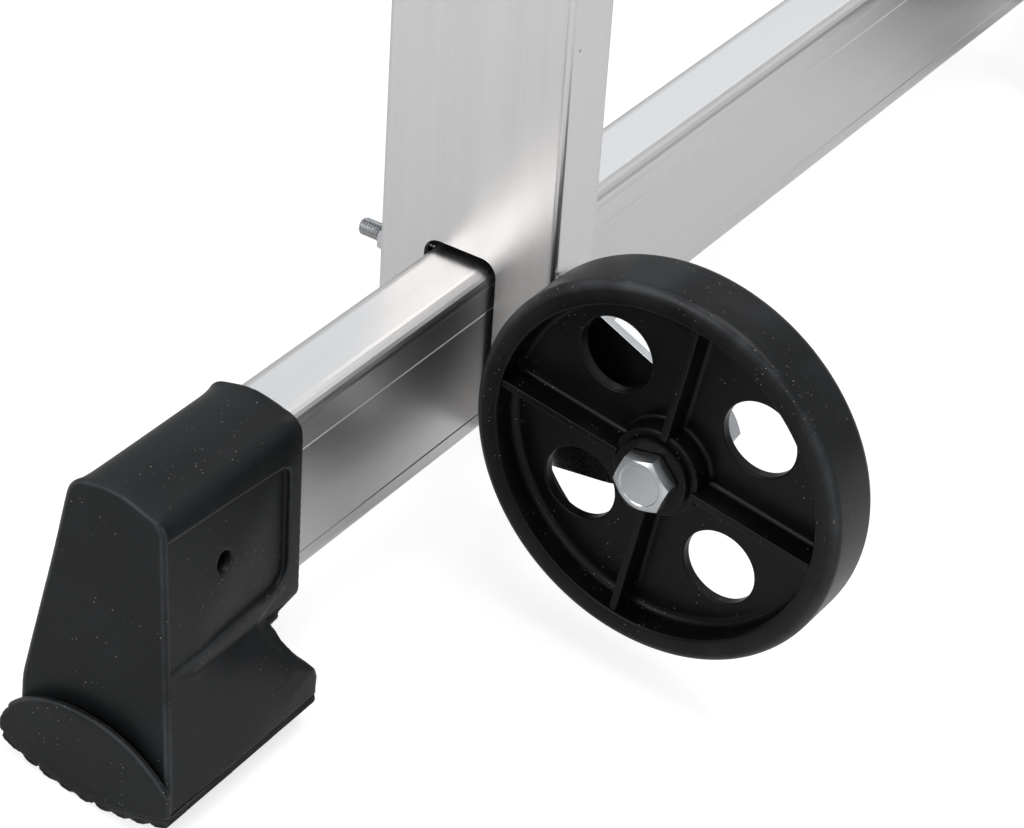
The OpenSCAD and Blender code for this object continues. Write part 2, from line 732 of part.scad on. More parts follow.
module foot_sleeve(inset) {
    half = foot_side_half - inset;
    hull() {
        along_x(foot_x0 - slab, foot_x0)
            polygon(foot_section(-foot_low_t, bar_mid, half, bar_mid, half, foot_low_r));
        on_end_wall()
            for (e = [0, foot_edge])
                along_x(e, e + slab)
                    polygon(foot_section(0, end_mid(0), end_half(0) - foot_edge + e,
                        end_mid(crown_z), end_half(crown_z) - foot_edge + e, 0));
    }
}

// The block over the sole, from a shoulder beside the sleeve down to the heel and the toe
module foot_block()
    hull() {
        for (side = [-1, 1])
            translate([heel_x - heel_r, bar_mid + side * (heel_half - heel_r), -sole_down])
                cylinder(r = heel_r, h = sole_down + block_top, $fn = 32);
        along_x(neck_x - slab, neck_x)
            polygon(box(bar_mid - foot_side_half, 0, bar_mid + foot_side_half, shoulder_z));
        on_end_wall()
            for (e = [0, foot_edge])
                along_x(e, e + slab) polygon(end_block(foot_edge - e));
    }

// Outline of the block on the end wall, drawn in by inset
function end_block(inset) =
    let (top = end_half(ledge_z) - inset, low = end_half(-sole_down) - inset)
    [[end_mid(ledge_z) - top, ledge_z], [bar_mid - low, -sole_down], [bar_mid + low, -sole_down],
        [end_mid(ledge_z) + top, ledge_z]];

// Side view of a foot: the sleeve, the neck cut in under it and the heel of the block
function foot_side() = rounded([
    [foot_x0, foot_top + through], [foot_x0, -foot_low_t], [neck_x, -foot_low_t],
    [neck_x + neck_lean, neck_mid_z], [heel_x, heel_top], [heel_x, -2 * sole_down],
    [2 * foot_toe, -2 * sole_down], [2 * foot_toe, foot_top + through]], [0, 2, 3, 4, 3, 0, 0, 0]);

// Side view of the sunk panels: a little higher towards the end wall
function panel_side() =
    let (inner = foot_x0 - panel_in, outer = foot_toe - panel_past,
        rise = panel_rise * (inner - outer), high = bar_h - panel_over)
    rounded([[inner, high], [inner, panel_low], [outer, panel_low + rise], [outer, high + rise]],
        [panel_r, panel_r, 0, 0]);

module foot()
    difference() {
        intersection() {
            union() {
                foot_sleeve(0);
                foot_block();
            }
            along_y(-2 * foot_half, 3 * foot_half) polygon(foot_side());
            along_x(foot_toe - foot_edge, foot_x0 + through)
                translate([sole_mid, sole_up]) circle(r = tread_r, $fn = 180);
        }
        // Socket of the base bar
        along_x(-bar_out - fit, foot_x0 + through)
            polygon(round_box(-foot_fit, -foot_fit, bar_w + foot_fit, bar_h + foot_fit, bar_r));
        // Sunk panel on both sides
        difference() {
            along_y(-2 * foot_half, 3 * foot_half) polygon(panel_side());
            foot_sleeve(panel_t);
        }
        // Screw hole of the outer side
        translate([(foot_x0 + foot_toe) / 2, 0, hole_z])
            rod_y(-foot_half, -foot_fit - hole_floor, foot_hole_d);
    }

// Raised lens on the end of a foot, and its tread with grooves along X
module foot_toe_lens()
    along_x(foot_toe - toe_t, foot_toe + foot_edge)
        intersection() {
            translate([sole_mid, sole_up]) circle(r = tread_r, $fn = 180);
            translate([bar_mid + lens_side, lens_top - lens_r]) circle(r = lens_r, $fn = 96);
            translate([bar_mid - sole_half, -2 * sole_down]) square([2 * sole_half, 2 * sole_down]);
        }

module tread()
    intersection() {
        along_x(foot_toe - toe_t, heel_x)
            translate([sole_mid, sole_up]) difference() {
                circle(r = sole_r, $fn = 180);
                circle(r = tread_r, $fn = 180);
                // The sole stands on the land between two grooves
                for (i = [0:groove_n - 1])
                    rotate(lean - 90 + (i - groove_n / 2 - 0.5) * groove_turn)
                        translate([sole_r + groove_r - groove_t, 0]) circle(r = groove_r, $fn = 24);
            }
        along_z(-2 * sole_down, 0)
            polygon(rounded([[heel_x, bar_mid - heel_half], [heel_x, bar_mid + heel_half],
                [foot_toe - toe_t, bar_mid + sole_half], [foot_toe - toe_t, bar_mid - sole_half]],
                [heel_r, heel_r, 0, 0]));
    }

groove_turn = groove_pitch / sole_r * 180 / PI;

module stile_cap()
    translate([0, 0, stile_top]) {
        along_z(0, head_t) polygon(round_box(0, stile_y0, stile_t, stile_y1, stile_r));
        along_z(-head_plug, fit)
            tube_section(stile_wall + fit, stile_y0 + stile_wall + fit, stile_t - stile_wall - fit,
                stile_y1 - stile_wall - fit, stile_in_r, stile_wall);
    }

head_t = 2.5;
head_plug = 10;
stile_in_r = 1;

// The two plugs in a stile's lower end, flush with the underside of the base bar
module stile_plug()
    along_z(0, plug_h)
        for (y = [[stile_y0 + stile_wall + fit, -cut_side], [bar_w + cut_side, stile_y1 - stile_wall - fit]])
            polygon(round_box(stile_wall + fit, y[0], stile_t - stile_wall - fit, y[1], stile_in_r));

module pivot_bush()
    translate([0, stile_mid, pivot_up])
        along_x(bush_gap - hinge_gap, stile_t + hinge_gap - bush_gap)
            difference() {
                circle(d = pivot_d + 2 * bush_wall, $fn = 48);
                circle(d = pivot_d + 2 * run_fit, $fn = 48);
            }

// Bolts through the stile and the base bar, with or without the bracket's flange
module bar_bolt(extra)
    translate([stile_t / 2, stile_y0 - extra, bar_bolt_z]) rotate([-90, 0, 0])
        hex_bolt(bar_bolt_d, stile_w + extra + bar_bolt_out);

module bar_nut()
    translate([stile_t / 2, stile_y1, bar_bolt_z]) rotate([-90, 0, 0]) flange_nut(bar_bolt_d);

module near_pair() near_leg() { left() children(); right() children(); }
module far_pair() far_leg() { left() children(); right() children(); }

module near_stile_left() color(alu) near_leg() left() stile();
module near_stile_right() color(alu) near_leg() right() stile();
module near_rung_lower() color(alu) near_leg() rung(0);
module near_rung_upper() color(alu) near_leg() rung(1);
module near_base_bar() color(alu) near_leg() base_bar();
module near_foot_left() color(black) near_leg() left() { foot(); foot_toe_lens(); }
module near_foot_right() color(black) near_leg() right() { foot(); foot_toe_lens(); }
module near_treads() color(black) near_pair() tread();
module near_stile_caps() color(black) near_pair() stile_cap();
module near_stile_plugs() color(black) near_pair() stile_plug();
module near_pivot_bushes() color(black) near_pair() pivot_bush();
module near_bar_bolts() color(zinc) near_pair() bar_bolt(bracket_t);
module near_bar_nuts() color(zinc) near_pair() bar_nut();

module far_stile_left() color(alu) far_leg() left() stile();
module far_stile_right() color(alu) far_leg() right() stile();
module far_rung_lower() color(alu) far_leg() rung(0);
module far_rung_upper() color(alu) far_leg() rung(1);
module far_base_bar() color(alu) far_leg() base_bar();
module far_foot_left() color(black) far_leg() left() { foot(); foot_toe_lens(); }
module far_foot_right() color(black) far_leg() right() { foot(); foot_toe_lens(); }
module far_treads() color(black) far_pair() tread();
module far_stile_caps() color(black) far_pair() stile_cap();
module far_stile_plugs() color(black) far_pair() stile_plug();
module far_pivot_bushes() color(black) far_pair() pivot_bush();
module far_bar_bolts() color(zinc) far_pair() bar_bolt(0);
module far_bar_nuts() color(zinc) far_pair() bar_nut();

// Wheels and their brackets

// Side view of a bracket: down from the stile to a nose round the axle
nose_fall = 24.7;
nose_rise = 35;
nose_tip = nose_r / sin((nose_fall + nose_rise) / 2);
nose_y = axle_y - nose_tip * cos((nose_rise - nose_fall) / 2);
nose_z = axle_up + nose_tip * sin((nose_rise - nose_fall) / 2);
bracket_top = nose_z + (stile_y0 - nose_y) * tan(nose_fall);
belly_up = 4;
belly_r = 40;
belly_z = bracket_low + belly_up;
belly_y = nose_y + (nose_z - belly_z) / tan(nose_rise);

module wheel_bracket()
    difference() {
        union() {
            along_x(0, bracket_t)
                polygon(rounded([[stile_y0, bracket_top], [nose_y, nose_z],
                    [belly_y, belly_z], [stile_y0, bracket_low]], [0, nose_r, belly_r, 0]));
            along_y(stile_y0 - bracket_t, stile_y0)
                polygon(rounded([[0, bracket_low], [flange_w, bracket_low],
                    [flange_w, bracket_top - flange_fall], [0, bracket_top]], [0, 4, 6, 0]));
        }
        translate([0, axle_y, axle_up]) rod_x(-through, bracket_t + through, pivot_d + 2 * fit);
        translate([stile_t / 2, 0, bar_bolt_z])
            rod_y(stile_y0 - bracket_t - through, stile_y0 + through, bar_bolt_d + 2 * fit);
        bracket_rivet_place() rod_y(-bracket_t - through, through, rivet_d + 2 * fit);
    }

module bracket_rivet_place() translate([stile_t / 2, stile_y0, rivet_z]) children();

rivet_z = 8;

// Wheel section, (radius, X) pairs turned about the axle
module wheel_body() {
    hub_back = bracket_wash_x - bush_gap;
    web_x0 = rim_front + web_in;
    web_x1 = web_x0 + web_t;
    rim_out = wheel_d / 2;
    bore = bush_d / 2 + run_fit;
    rotate([0, 90, 0]) rotate_extrude($fn = 128)
        polygon(rounded([
            [bore, hub_front], [hub_d / 2, hub_front], [hub_d / 2, web_x0], [recess_r, web_x0],
            [recess_r, rim_front], [rim_out, rim_front], [rim_out, rim_back], [recess_r, rim_back],
            [recess_r, web_x1], [hub_d / 2, web_x1], [hub_d / 2, hub_back], [bore, hub_back]],
            [0, 1, 1.5, 3, 1.5, 3, 3, 1.5, 1.5, 1, 0.5, 0], 4));
}

module wheel()
    translate([0, axle_y, axle_up]) {
        difference() {
            wheel_body();
            for (k = [0:3])
                rotate([spoke_turn + 45 + 90 * k, 0, 0]) translate([0, hole_r, 0])
                    rod_x(rim_front + 1, rim_back, hole_d);
        }
        // Ribs from the hub to the rim, sunk a little into both and into the web
        for (k = [0:3])
            rotate([spoke_turn + 90 * k, 0, 0])
                translate([rim_front + spoke_in, hub_d / 2 - 1, -spoke_t / 2])
                    cube([web_in - spoke_in + 0.5, recess_r - hub_d / 2 + 2, spoke_t]);
    }

bracket_wash_x = -axle_washer_t;
bush_x0 = hub_front - bush_gap - bush_flange_t;

// A flanged bush: the wheel turns on it, and its flange is under the bolt head
module wheel_bush()
    translate([0, axle_y, axle_up])
        difference() {
            union() {
                rod_x(bush_x0, bush_x0 + bush_flange_t, bush_flange_d);
                rod_x(bush_x0 + bush_flange_t - fit, bracket_wash_x, bush_d);
            }
            rod_x(bush_x0 - through, through, pivot_d + 2 * fit);
        }

module axle_bolt()
    translate([bush_x0, axle_y, axle_up]) rotate([0, 90, 0])
        hex_bolt(pivot_d, bracket_t - bush_x0 + nut_h(pivot_d) + thread_out, false);

module axle_nut()
    translate([0, axle_y, axle_up]) {
        translate([bracket_t, 0, 0]) rotate([0, 90, 0]) flange_nut(pivot_d);
        along_x(bracket_wash_x, 0)
            difference() {
                circle(d = washer_d(pivot_d), $fn = 48);
                circle(d = pivot_d + 2 * fit, $fn = 48);
            }
    }

module wheel_bracket_left() color(zinc) near_leg() left() wheel_bracket();
module wheel_bracket_right() color(zinc) near_leg() right() wheel_bracket();
module wheel_left() color(black) near_leg() left() wheel();
module wheel_right() color(black) near_leg() right() wheel();
module wheel_bushes() color(black) near_pair() wheel_bush();
module axle_bolts() color(zinc) near_pair() axle_bolt();
module axle_nuts() color(zinc) near_pair() axle_nut();
module bracket_rivets() color(zinc) near_pair() bracket_rivet_place() {
    rod_y(-bracket_t - rivet_head_h, -bracket_t, 2 * rivet_d);
    rod_y(-bracket_t - fit, stile_wall + 1, rivet_d);
}

deck_rail_left();
deck_rail_right();
deck_end_member_near();
deck_end_member_far();
deck_crossbars();
deck_plank_1();
deck_plank_2();
deck_plank_3();
deck_plank_4();
plank_rivets();
rail_caps();
hinge_plates_outer();
hinge_plates_inner();
hinge_bolts();
hinge_nuts();
stop_sleeves();
pivot_bolts();
pivot_nuts();
lock_housings();
lock_springs();
lock_pin_near_left();
lock_pin_near_right();
lock_pin_far_left();
lock_pin_far_right();
near_stile_left();
near_stile_right();
near_rung_lower();
near_rung_upper();
near_base_bar();
near_foot_left();
near_foot_right();
near_treads();
near_stile_caps();
near_stile_plugs();
near_pivot_bushes();
near_bar_bolts();
near_bar_nuts();
far_stile_left();
far_stile_right();
far_rung_lower();
far_rung_upper();
far_base_bar();
far_foot_left();
far_foot_right();
far_treads();
far_stile_caps();
far_stile_plugs();
far_pivot_bushes();
far_bar_bolts();
far_bar_nuts();
wheel_bracket_left();
wheel_bracket_right();
wheel_left();
wheel_right();
wheel_bushes();
axle_bolts();
axle_nuts();
bracket_rivets();
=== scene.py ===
# %% [markdown]
# # A folding work platform
# The platform has an aluminium deck on two ladder-shaped leg frames. Each leg frame stands on a base
# bar with a black rocker foot at both ends, and one frame carries two black wheels. The CAD model
# gives every part its place and size. This lesson gives the parts the finish that the real ones have,
# and swaps the moulded and threaded ones for finer meshes in the same places.

# %% Load the frame
import math

import bmesh
import bpy
import numpy as np
from mathutils import Matrix, Vector
from mathutils.kdtree import KDTree


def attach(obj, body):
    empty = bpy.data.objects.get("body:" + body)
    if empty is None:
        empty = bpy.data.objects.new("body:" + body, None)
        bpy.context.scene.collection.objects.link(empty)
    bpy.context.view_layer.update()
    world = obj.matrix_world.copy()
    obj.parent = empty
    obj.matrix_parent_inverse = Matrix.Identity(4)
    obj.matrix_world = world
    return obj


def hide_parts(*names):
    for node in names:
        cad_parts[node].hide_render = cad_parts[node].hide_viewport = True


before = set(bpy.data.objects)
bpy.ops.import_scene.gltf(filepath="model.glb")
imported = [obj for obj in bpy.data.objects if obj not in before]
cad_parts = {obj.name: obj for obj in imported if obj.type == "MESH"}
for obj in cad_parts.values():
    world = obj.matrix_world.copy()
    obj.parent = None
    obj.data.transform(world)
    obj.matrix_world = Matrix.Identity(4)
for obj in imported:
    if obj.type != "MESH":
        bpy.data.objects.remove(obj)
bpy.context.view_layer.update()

# %% [markdown]
# ## The camera
# The photograph looks down on one lower corner from about a metre away through a long lens, and the
# camera is rolled a little. Its place and turn were solved from the straight edges of the bars and
# from the rims of the wheel, so they are written as numbers. A quaternion holds the turn without the
# order of axes that three angles would need.

# %% Camera
def linked(name, data):
    """A new object with that data, in the scene."""
    thing = bpy.data.objects.new(name, data)
    bpy.context.scene.collection.objects.link(thing)
    return thing


camera_data = bpy.data.cameras.new("photo_camera")
camera_data.sensor_width = 36
camera_data.lens = 127.866
camera_data.clip_start, camera_data.clip_end = 0.05, 60
camera = linked("photo_camera", camera_data)
camera.location = (-1.004060, -1.151989, 0.756121)
camera.rotation_mode = "QUATERNION"
camera.rotation_quaternion = (0.812460, 0.345473, -0.269443, -0.384651)
bpy.context.scene.camera = camera
bpy.context.scene.view_settings.view_transform = "Standard"
print("camera lens", camera_data.lens, "mm")

# %% [markdown]
# ## Places on the platform
# Every corner of the platform is the same corner, mirrored. A point is easiest to give in the corner's
# own frame: X outwards through the stile's wide face (outside is negative), Y across the base bar and
# Z up the leaning leg, in millimetres. A matrix for each corner then takes it to metres in the world.

# %% Corner frames
MM = 0.001
LEAN = math.radians(8)
DECK_Y = 0.0565957
CORNER_X = 0.199
LEG_ORIGIN = Vector((0, -0.7942421, 0.0385932))
PIVOT = Vector((0, -0.694, 0.680))
ENDS, SIDES = ("near", "far"), ("left", "right")


def mirrored(axis, wanted):
    """A mirror about the plane across the axis, or nothing."""
    return Matrix.Scale(-1 if wanted else 1, 4, axis)


def corner_frame(end, side, pivot=False):
    """Millimetres of a leg's corner, or of a pivot on the deck, to metres in the world."""
    foot = Matrix.Translation(PIVOT) if pivot else (
        Matrix.Translation(LEG_ORIGIN) @ Matrix.Rotation(-LEAN, 4, "X"))
    return (Matrix.Translation((0, DECK_Y, 0)) @ mirrored((0, 1, 0), end == "far") @ foot
            @ mirrored((1, 0, 0), side == "right") @ Matrix.Translation((-CORNER_X, 0, 0))
            @ Matrix.Scale(MM, 4))


near_left = corner_frame("near", "left")
to_near_left = near_left.inverted()
print("near left corner", near_left.translation)

# %% [markdown]
# ## Mesh helpers
# Three ways of making a mesh cover nearly everything here. A lathe turns a profile about an axis, a
# prism pushes a flat outline along an axis, and a merged copy of a CAD node is the start for a softer
# version of it. The first two are a skin over rings of points. A mesh that is placed through a mirrored
# matrix gets its faces turned round, so that they still point outwards.

# %% Lathe and prism
def arc(centre, radius, start, end, steps):
    """Points on an arc about a centre, in degrees."""
    angles = np.radians(np.linspace(start, end, steps + 1))
    return [(centre[0] + radius * math.cos(a), centre[1] + radius * math.sin(a)) for a in angles]


def ring(bm, steps, radius_at, height_at):
    """Points round Z, whose radius and height are functions of their number."""
    turns = [2 * math.pi * i / steps for i in range(steps)]
    return [bm.verts.new((radius_at(i) * math.cos(turn), radius_at(i) * math.sin(turn), height_at(i)))
            for i, turn in enumerate(turns)]


def skinned(bm, rings, closed=False, ends=False):
    """Faces from each ring of points to the next, back to the first if closed, and over both ends."""
    steps = max(len(points) for points in rings)
    for low, high in zip(rings, rings[1:] + (rings[:1] if closed else [])):
        for i in range(steps):
            j = (i + 1) % steps
            loop = [low[i % len(low)], low[j % len(low)], high[j % len(high)], high[i % len(high)]]
            bm.faces.new(list(dict.fromkeys(loop)))
    if ends:
        bm.faces.new(rings[0][::-1])
        bm.faces.new(rings[-1])
    bmesh.ops.recalc_face_normals(bm, faces=bm.faces)
    return bm


def lathe(profile, steps, closed=False):
    """(radius, height) pairs turned about Z. An open profile starts and ends on the axis."""
    bm = bmesh.new()
    return skinned(bm, [ring(bm, steps if radius else 1, lambda i: radius, lambda i: height)
                        for radius, height in profile], closed)


def prism(outline, low, high):
    """A flat (x, y) outline pushed from one height to another along Z."""
    bm = bmesh.new()
    return skinned(bm, [[bm.verts.new((x, y, z)) for x, y in outline] for z in (low, high)], ends=True)


def moved(bm, matrix):
    """The mesh carried by a matrix, with its faces still pointing outwards."""
    bm.transform(matrix)
    if matrix.to_3x3().determinant() < 0:
        bmesh.ops.reverse_faces(bm, faces=bm.faces)
    return bm


def joined(*parts):
    """Several meshes as one."""
    whole = bmesh.new()
    for part in parts:
        mesh = bpy.data.meshes.new("part")
        part.to_mesh(mesh)
        part.free()
        whole.from_mesh(mesh)
        bpy.data.meshes.remove(mesh)
    return whole


# %% [markdown]
# ## From mesh to piece
# A piece is an object at the origin whose place is in its mesh. Modifiers are used as tools: they are
# worked out once, the result becomes the mesh, and the modifier goes. Edges sharper than a given angle
# stay crisp, and the rest of the surface is shaded smooth.

# %% Objects and pieces
SHARP = math.radians(32)


def new_object(name, bm):
    """An object in the scene with that mesh."""
    mesh = bpy.data.meshes.new(name)
    bm.to_mesh(mesh)
    bm.free()
    return linked(name, mesh)


def worked_out(thing):
    """Replaces an object's mesh by what its modifiers make of it."""
    graph = bpy.context.evaluated_depsgraph_get()
    mesh = bpy.data.meshes.new_from_object(thing.evaluated_get(graph))
    old = thing.data
    thing.modifiers.clear()
    thing.data = mesh
    bpy.data.meshes.remove(old)
    mesh.name = thing.name
    return thing


def smooth(thing, angle=SHARP):
    """Smooth shading that stops at edges sharper than the angle."""
    thing.data.shade_smooth()
    thing.data.set_sharp_from_angle(angle=angle)
    return thing


def weighted(thing):
    """Normals that follow the large faces, so that narrow fillets don't darken flat ones."""
    thing.modifiers.new("weights", "WEIGHTED_NORMAL").keep_sharp = True
    return worked_out(thing)


def piece(thing, body, material, *nodes):
    """Gives a finished object its material, its body and the CAD nodes it stands for."""
    thing.data.materials.clear()
    thing.data.materials.append(material)
    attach(thing, body)
    if nodes:
        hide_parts(*nodes)
    print(thing.name, len(thing.data.polygons), "faces")
    return thing


# %% CAD copies
def cad_copy(node):
    """A copy of a CAD node's mesh with its loose triangles merged into whole faces."""
    bm = bmesh.new()
    bm.from_mesh(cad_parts[node].data)
    bmesh.ops.remove_doubles(bm, verts=bm.verts, dist=2e-6)
    bmesh.ops.dissolve_limit(bm, angle_limit=math.radians(0.6), verts=bm.verts, edges=bm.edges)
    return bm


def softened(node, width, name):
    """A CAD node with its sharp edges rounded to a width in millimetres."""
    thing = new_object(name, cad_copy(node))
    bevel = thing.modifiers.new("edges", "BEVEL")
    bevel.width, bevel.segments = width * MM, 2
    bevel.limit_method, bevel.angle_limit = "ANGLE", math.radians(35)
    bevel.use_clamp_overlap = True
    return weighted(smooth(worked_out(thing)))


# %% [markdown]
# ## Shared effects
# A finish is made of effects that several materials share. Each is a node group with named inputs, so
# aluminium, zinc and plastic can use it with their own values: drawn lines along an extrusion, small
# marks from handling, the fine grain of a mould, and the white dust that black plastic gathers.

# %% Node helpers
def wire(tree, value, socket):
    """Links a socket, or sets it where the value is a number or a colour."""
    if isinstance(value, bpy.types.NodeSocket):
        tree.links.new(value, socket)
    else:
        socket.default_value = value


def node(tree, kind, inputs=None, **settings):
    """A new node with its settings and its inputs."""
    made = tree.nodes.new(kind)
    for key, value in settings.items():
        setattr(made, key, value)
    for key, value in (inputs or {}).items():
        wire(tree, value, made.inputs[key])
    return made


def maths(tree, operation, a, b=0.0, clamp=False):
    """The result of one Math node."""
    return node(tree, "ShaderNodeMath", {0: a, 1: b}, operation=operation, use_clamp=clamp).outputs[0]


def weighed(tree, *terms, clamp=False):
    """The sum of two values, each with its weight."""
    a, b = (maths(tree, "MULTIPLY", value, weight) if weight != 1 else value for value, weight in terms)
    return maths(tree, "ADD", a, b, clamp)


def stretched(tree, vector, scale):
    """Coordinates multiplied along each axis."""
    return node(tree, "ShaderNodeVectorMath", {0: vector, 1: scale}, operation="MULTIPLY").outputs[0]


def noise(tree, vector, scale, detail=2.0, roughness=0.5):
    """The value of a Noise texture."""
    return node(tree, "ShaderNodeTexNoise", {"Vector": vector, "Scale": scale, "Detail": detail,
                                             "Roughness": roughness}).outputs["Fac"]


def ramp(tree, value, low, high, to_low=0.0, to_high=1.0):
    """A value taken from one range to another and held inside it."""
    return node(tree, "ShaderNodeMapRange", {"Value": value, "From Min": low, "From Max": high,
                                             "To Min": to_low, "To Max": to_high}).outputs[0]


def mixed(tree, factor, a, b):
    """Two colours mixed by a factor."""
    made = node(tree, "ShaderNodeMix", {"Factor": factor}, data_type="RGBA")
    wire(tree, a, made.inputs[6])
    wire(tree, b, made.inputs[7])
    return made.outputs[2]


def effect(name, inputs, outputs):
    """A new shader node group, its input node and its output node."""
    tree = bpy.data.node_groups.new(name, "ShaderNodeTree")
    for label, kind, value in inputs:
        socket = tree.interface.new_socket(label, in_out="INPUT", socket_type=kind)
        if value is not None:
            socket.default_value = value
    for label in outputs:
        tree.interface.new_socket(label, in_out="OUTPUT", socket_type="NodeSocketFloat")
    return tree, tree.nodes.new("NodeGroupInput").outputs, tree.nodes.new("NodeGroupOutput").inputs


FLOAT, VECTOR = "NodeSocketFloat", "NodeSocketVector"

# %% Drawn lines
drawn_lines, given, result = effect(
    "Drawn lines", [("Coordinates", VECTOR, None), ("Line width", FLOAT, 0.0008),
                    ("Band width", FLOAT, 0.009)], ["Lines", "Bands"])


def streaks(width, along, detail, roughness):
    """Noise of a width across X, and drawn out along it."""
    across = maths(drawn_lines, "DIVIDE", 1.0, width)
    space = node(drawn_lines, "ShaderNodeCombineXYZ", {"X": along, "Y": across, "Z": across}).outputs[0]
    drawn_out = stretched(drawn_lines, given["Coordinates"], space)
    return noise(drawn_lines, drawn_out, 1.0, detail, roughness)


wire(drawn_lines, streaks(given["Line width"], 5.0, 3.0, 0.65), result["Lines"])
wire(drawn_lines, streaks(given["Band width"], 1.6, 2.0, 0.5), result["Bands"])

# %% Handling marks
hand_marks, given, result = effect(
    "Handling marks", [("Coordinates", VECTOR, None), ("Mark size", FLOAT, 0.004),
                       ("Amount", FLOAT, 0.4)], ["Marks", "Pits"])
mark_scale = maths(hand_marks, "DIVIDE", 1.0, given["Mark size"])
where = noise(hand_marks, given["Coordinates"], 9.0, 2.0)
patch = noise(hand_marks, stretched(hand_marks, given["Coordinates"], (1.0, 2.2, 1.3)),
              mark_scale, 4.0, 0.7)
edge = weighed(hand_marks, (0.78, 1), (given["Amount"], -0.2))
rubbed = ramp(hand_marks, patch, edge, maths(hand_marks, "ADD", edge, 0.07))
chosen = ramp(hand_marks, where, 0.47, 0.62)
wire(hand_marks, maths(hand_marks, "MULTIPLY", rubbed, chosen), result["Marks"])
cell_scale = maths(hand_marks, "MULTIPLY", mark_scale, 0.18)
cells = node(hand_marks, "ShaderNodeTexVoronoi",
             {"Vector": given["Coordinates"], "Scale": cell_scale})
near_point = ramp(hand_marks, cells.outputs["Distance"], 0.03, 0.012)
lone = node(hand_marks, "ShaderNodeSeparateColor", {"Color": cells.outputs["Color"]}).outputs[0]
kept = maths(hand_marks, "LESS_THAN", lone, maths(hand_marks, "MULTIPLY", given["Amount"], 0.6))
wire(hand_marks, maths(hand_marks, "MULTIPLY", near_point, kept), result["Pits"])

# %% Moulded grain and dust
moulded_grain, given, result = effect(
    "Moulded grain", [("Coordinates", VECTOR, None), ("Grain size", FLOAT, 0.0006)],
    ["Grain", "Cloud"])
grain_scale = maths(moulded_grain, "DIVIDE", 1.0, given["Grain size"])
wire(moulded_grain, noise(moulded_grain, given["Coordinates"], grain_scale, 2.0, 0.6), result["Grain"])
wire(moulded_grain, noise(moulded_grain, given["Coordinates"], 38.0, 4.0, 0.6), result["Cloud"])

white_dust, given, result = effect(
    "White dust", [("Coordinates", VECTOR, None), ("Speck size", FLOAT, 0.00025),
                   ("Spacing", FLOAT, 0.004), ("Amount", FLOAT, 0.5)], ["Dust"])
speck_scale = maths(white_dust, "DIVIDE", 1.0, given["Spacing"])
speck = node(white_dust, "ShaderNodeTexVoronoi", {"Vector": given["Coordinates"], "Scale": speck_scale})
reach = maths(white_dust, "DIVIDE", given["Speck size"], given["Spacing"])
spot = ramp(white_dust, speck.outputs["Distance"], reach, maths(white_dust, "MULTIPLY", reach, 0.4))
luck = node(white_dust, "ShaderNodeSeparateColor", {"Color": speck.outputs["Color"]}).outputs
settled = noise(white_dust, given["Coordinates"], 55.0, 2.0)
dusty = maths(white_dust, "MULTIPLY", ramp(white_dust, settled, 0.46, 0.72), given["Amount"])
shown = maths(white_dust, "LESS_THAN", luck[0], dusty)
strength = ramp(white_dust, luck[1], 0.0, 1.0, 0.2, 1.0)
wire(white_dust, maths(white_dust, "MULTIPLY", maths(white_dust, "MULTIPLY", spot, shown), strength),
     result["Dust"])
print("effects", [g.name for g in bpy.data.node_groups])

# %% [markdown]
# ## Aluminium
# The sections are mill-finish aluminium: a light, soft grey with lines along the direction in which
# they were pressed, faint cloudy bands, and small dark marks from handling. The lines have to follow
# each section, so a Mapping node first turns its length to the X axis.

# %% Aluminium
def new_material(name):
    """A material with a Principled shader, and the object coordinates to draw it by."""
    material = bpy.data.materials.new(name)
    material.use_nodes = True
    tree = material.node_tree
    tree.nodes.clear()
    shader = tree.nodes.new("ShaderNodeBsdfPrincipled")
    output = tree.nodes.new("ShaderNodeOutputMaterial")
    tree.links.new(shader.outputs[0], output.inputs["Surface"])
    place = tree.nodes.new("ShaderNodeTexCoord").outputs["Object"]
    return material, tree, shader, place


def use(tree, group, **inputs):
    """Places an effect in a material and returns its outputs."""
    made = tree.nodes.new("ShaderNodeGroup")
    made.node_tree = group
    for key, value in inputs.items():
        wire(tree, value, made.inputs[key.replace("_", " ")])
    return made.outputs


def bumped(tree, shader, height, distance, strength=1.0):
    """Feeds a height into the shader's normal."""
    made = node(tree, "ShaderNodeBump", {"Height": height, "Distance": distance, "Strength": strength})
    tree.links.new(made.outputs[0], shader.inputs["Normal"])


LIGHT_ALUMINIUM, GREY_ALUMINIUM = (0.61, 0.60, 0.593, 1), (0.57, 0.56, 0.553, 1)
MARK_GREY = (0.16, 0.16, 0.165, 1)


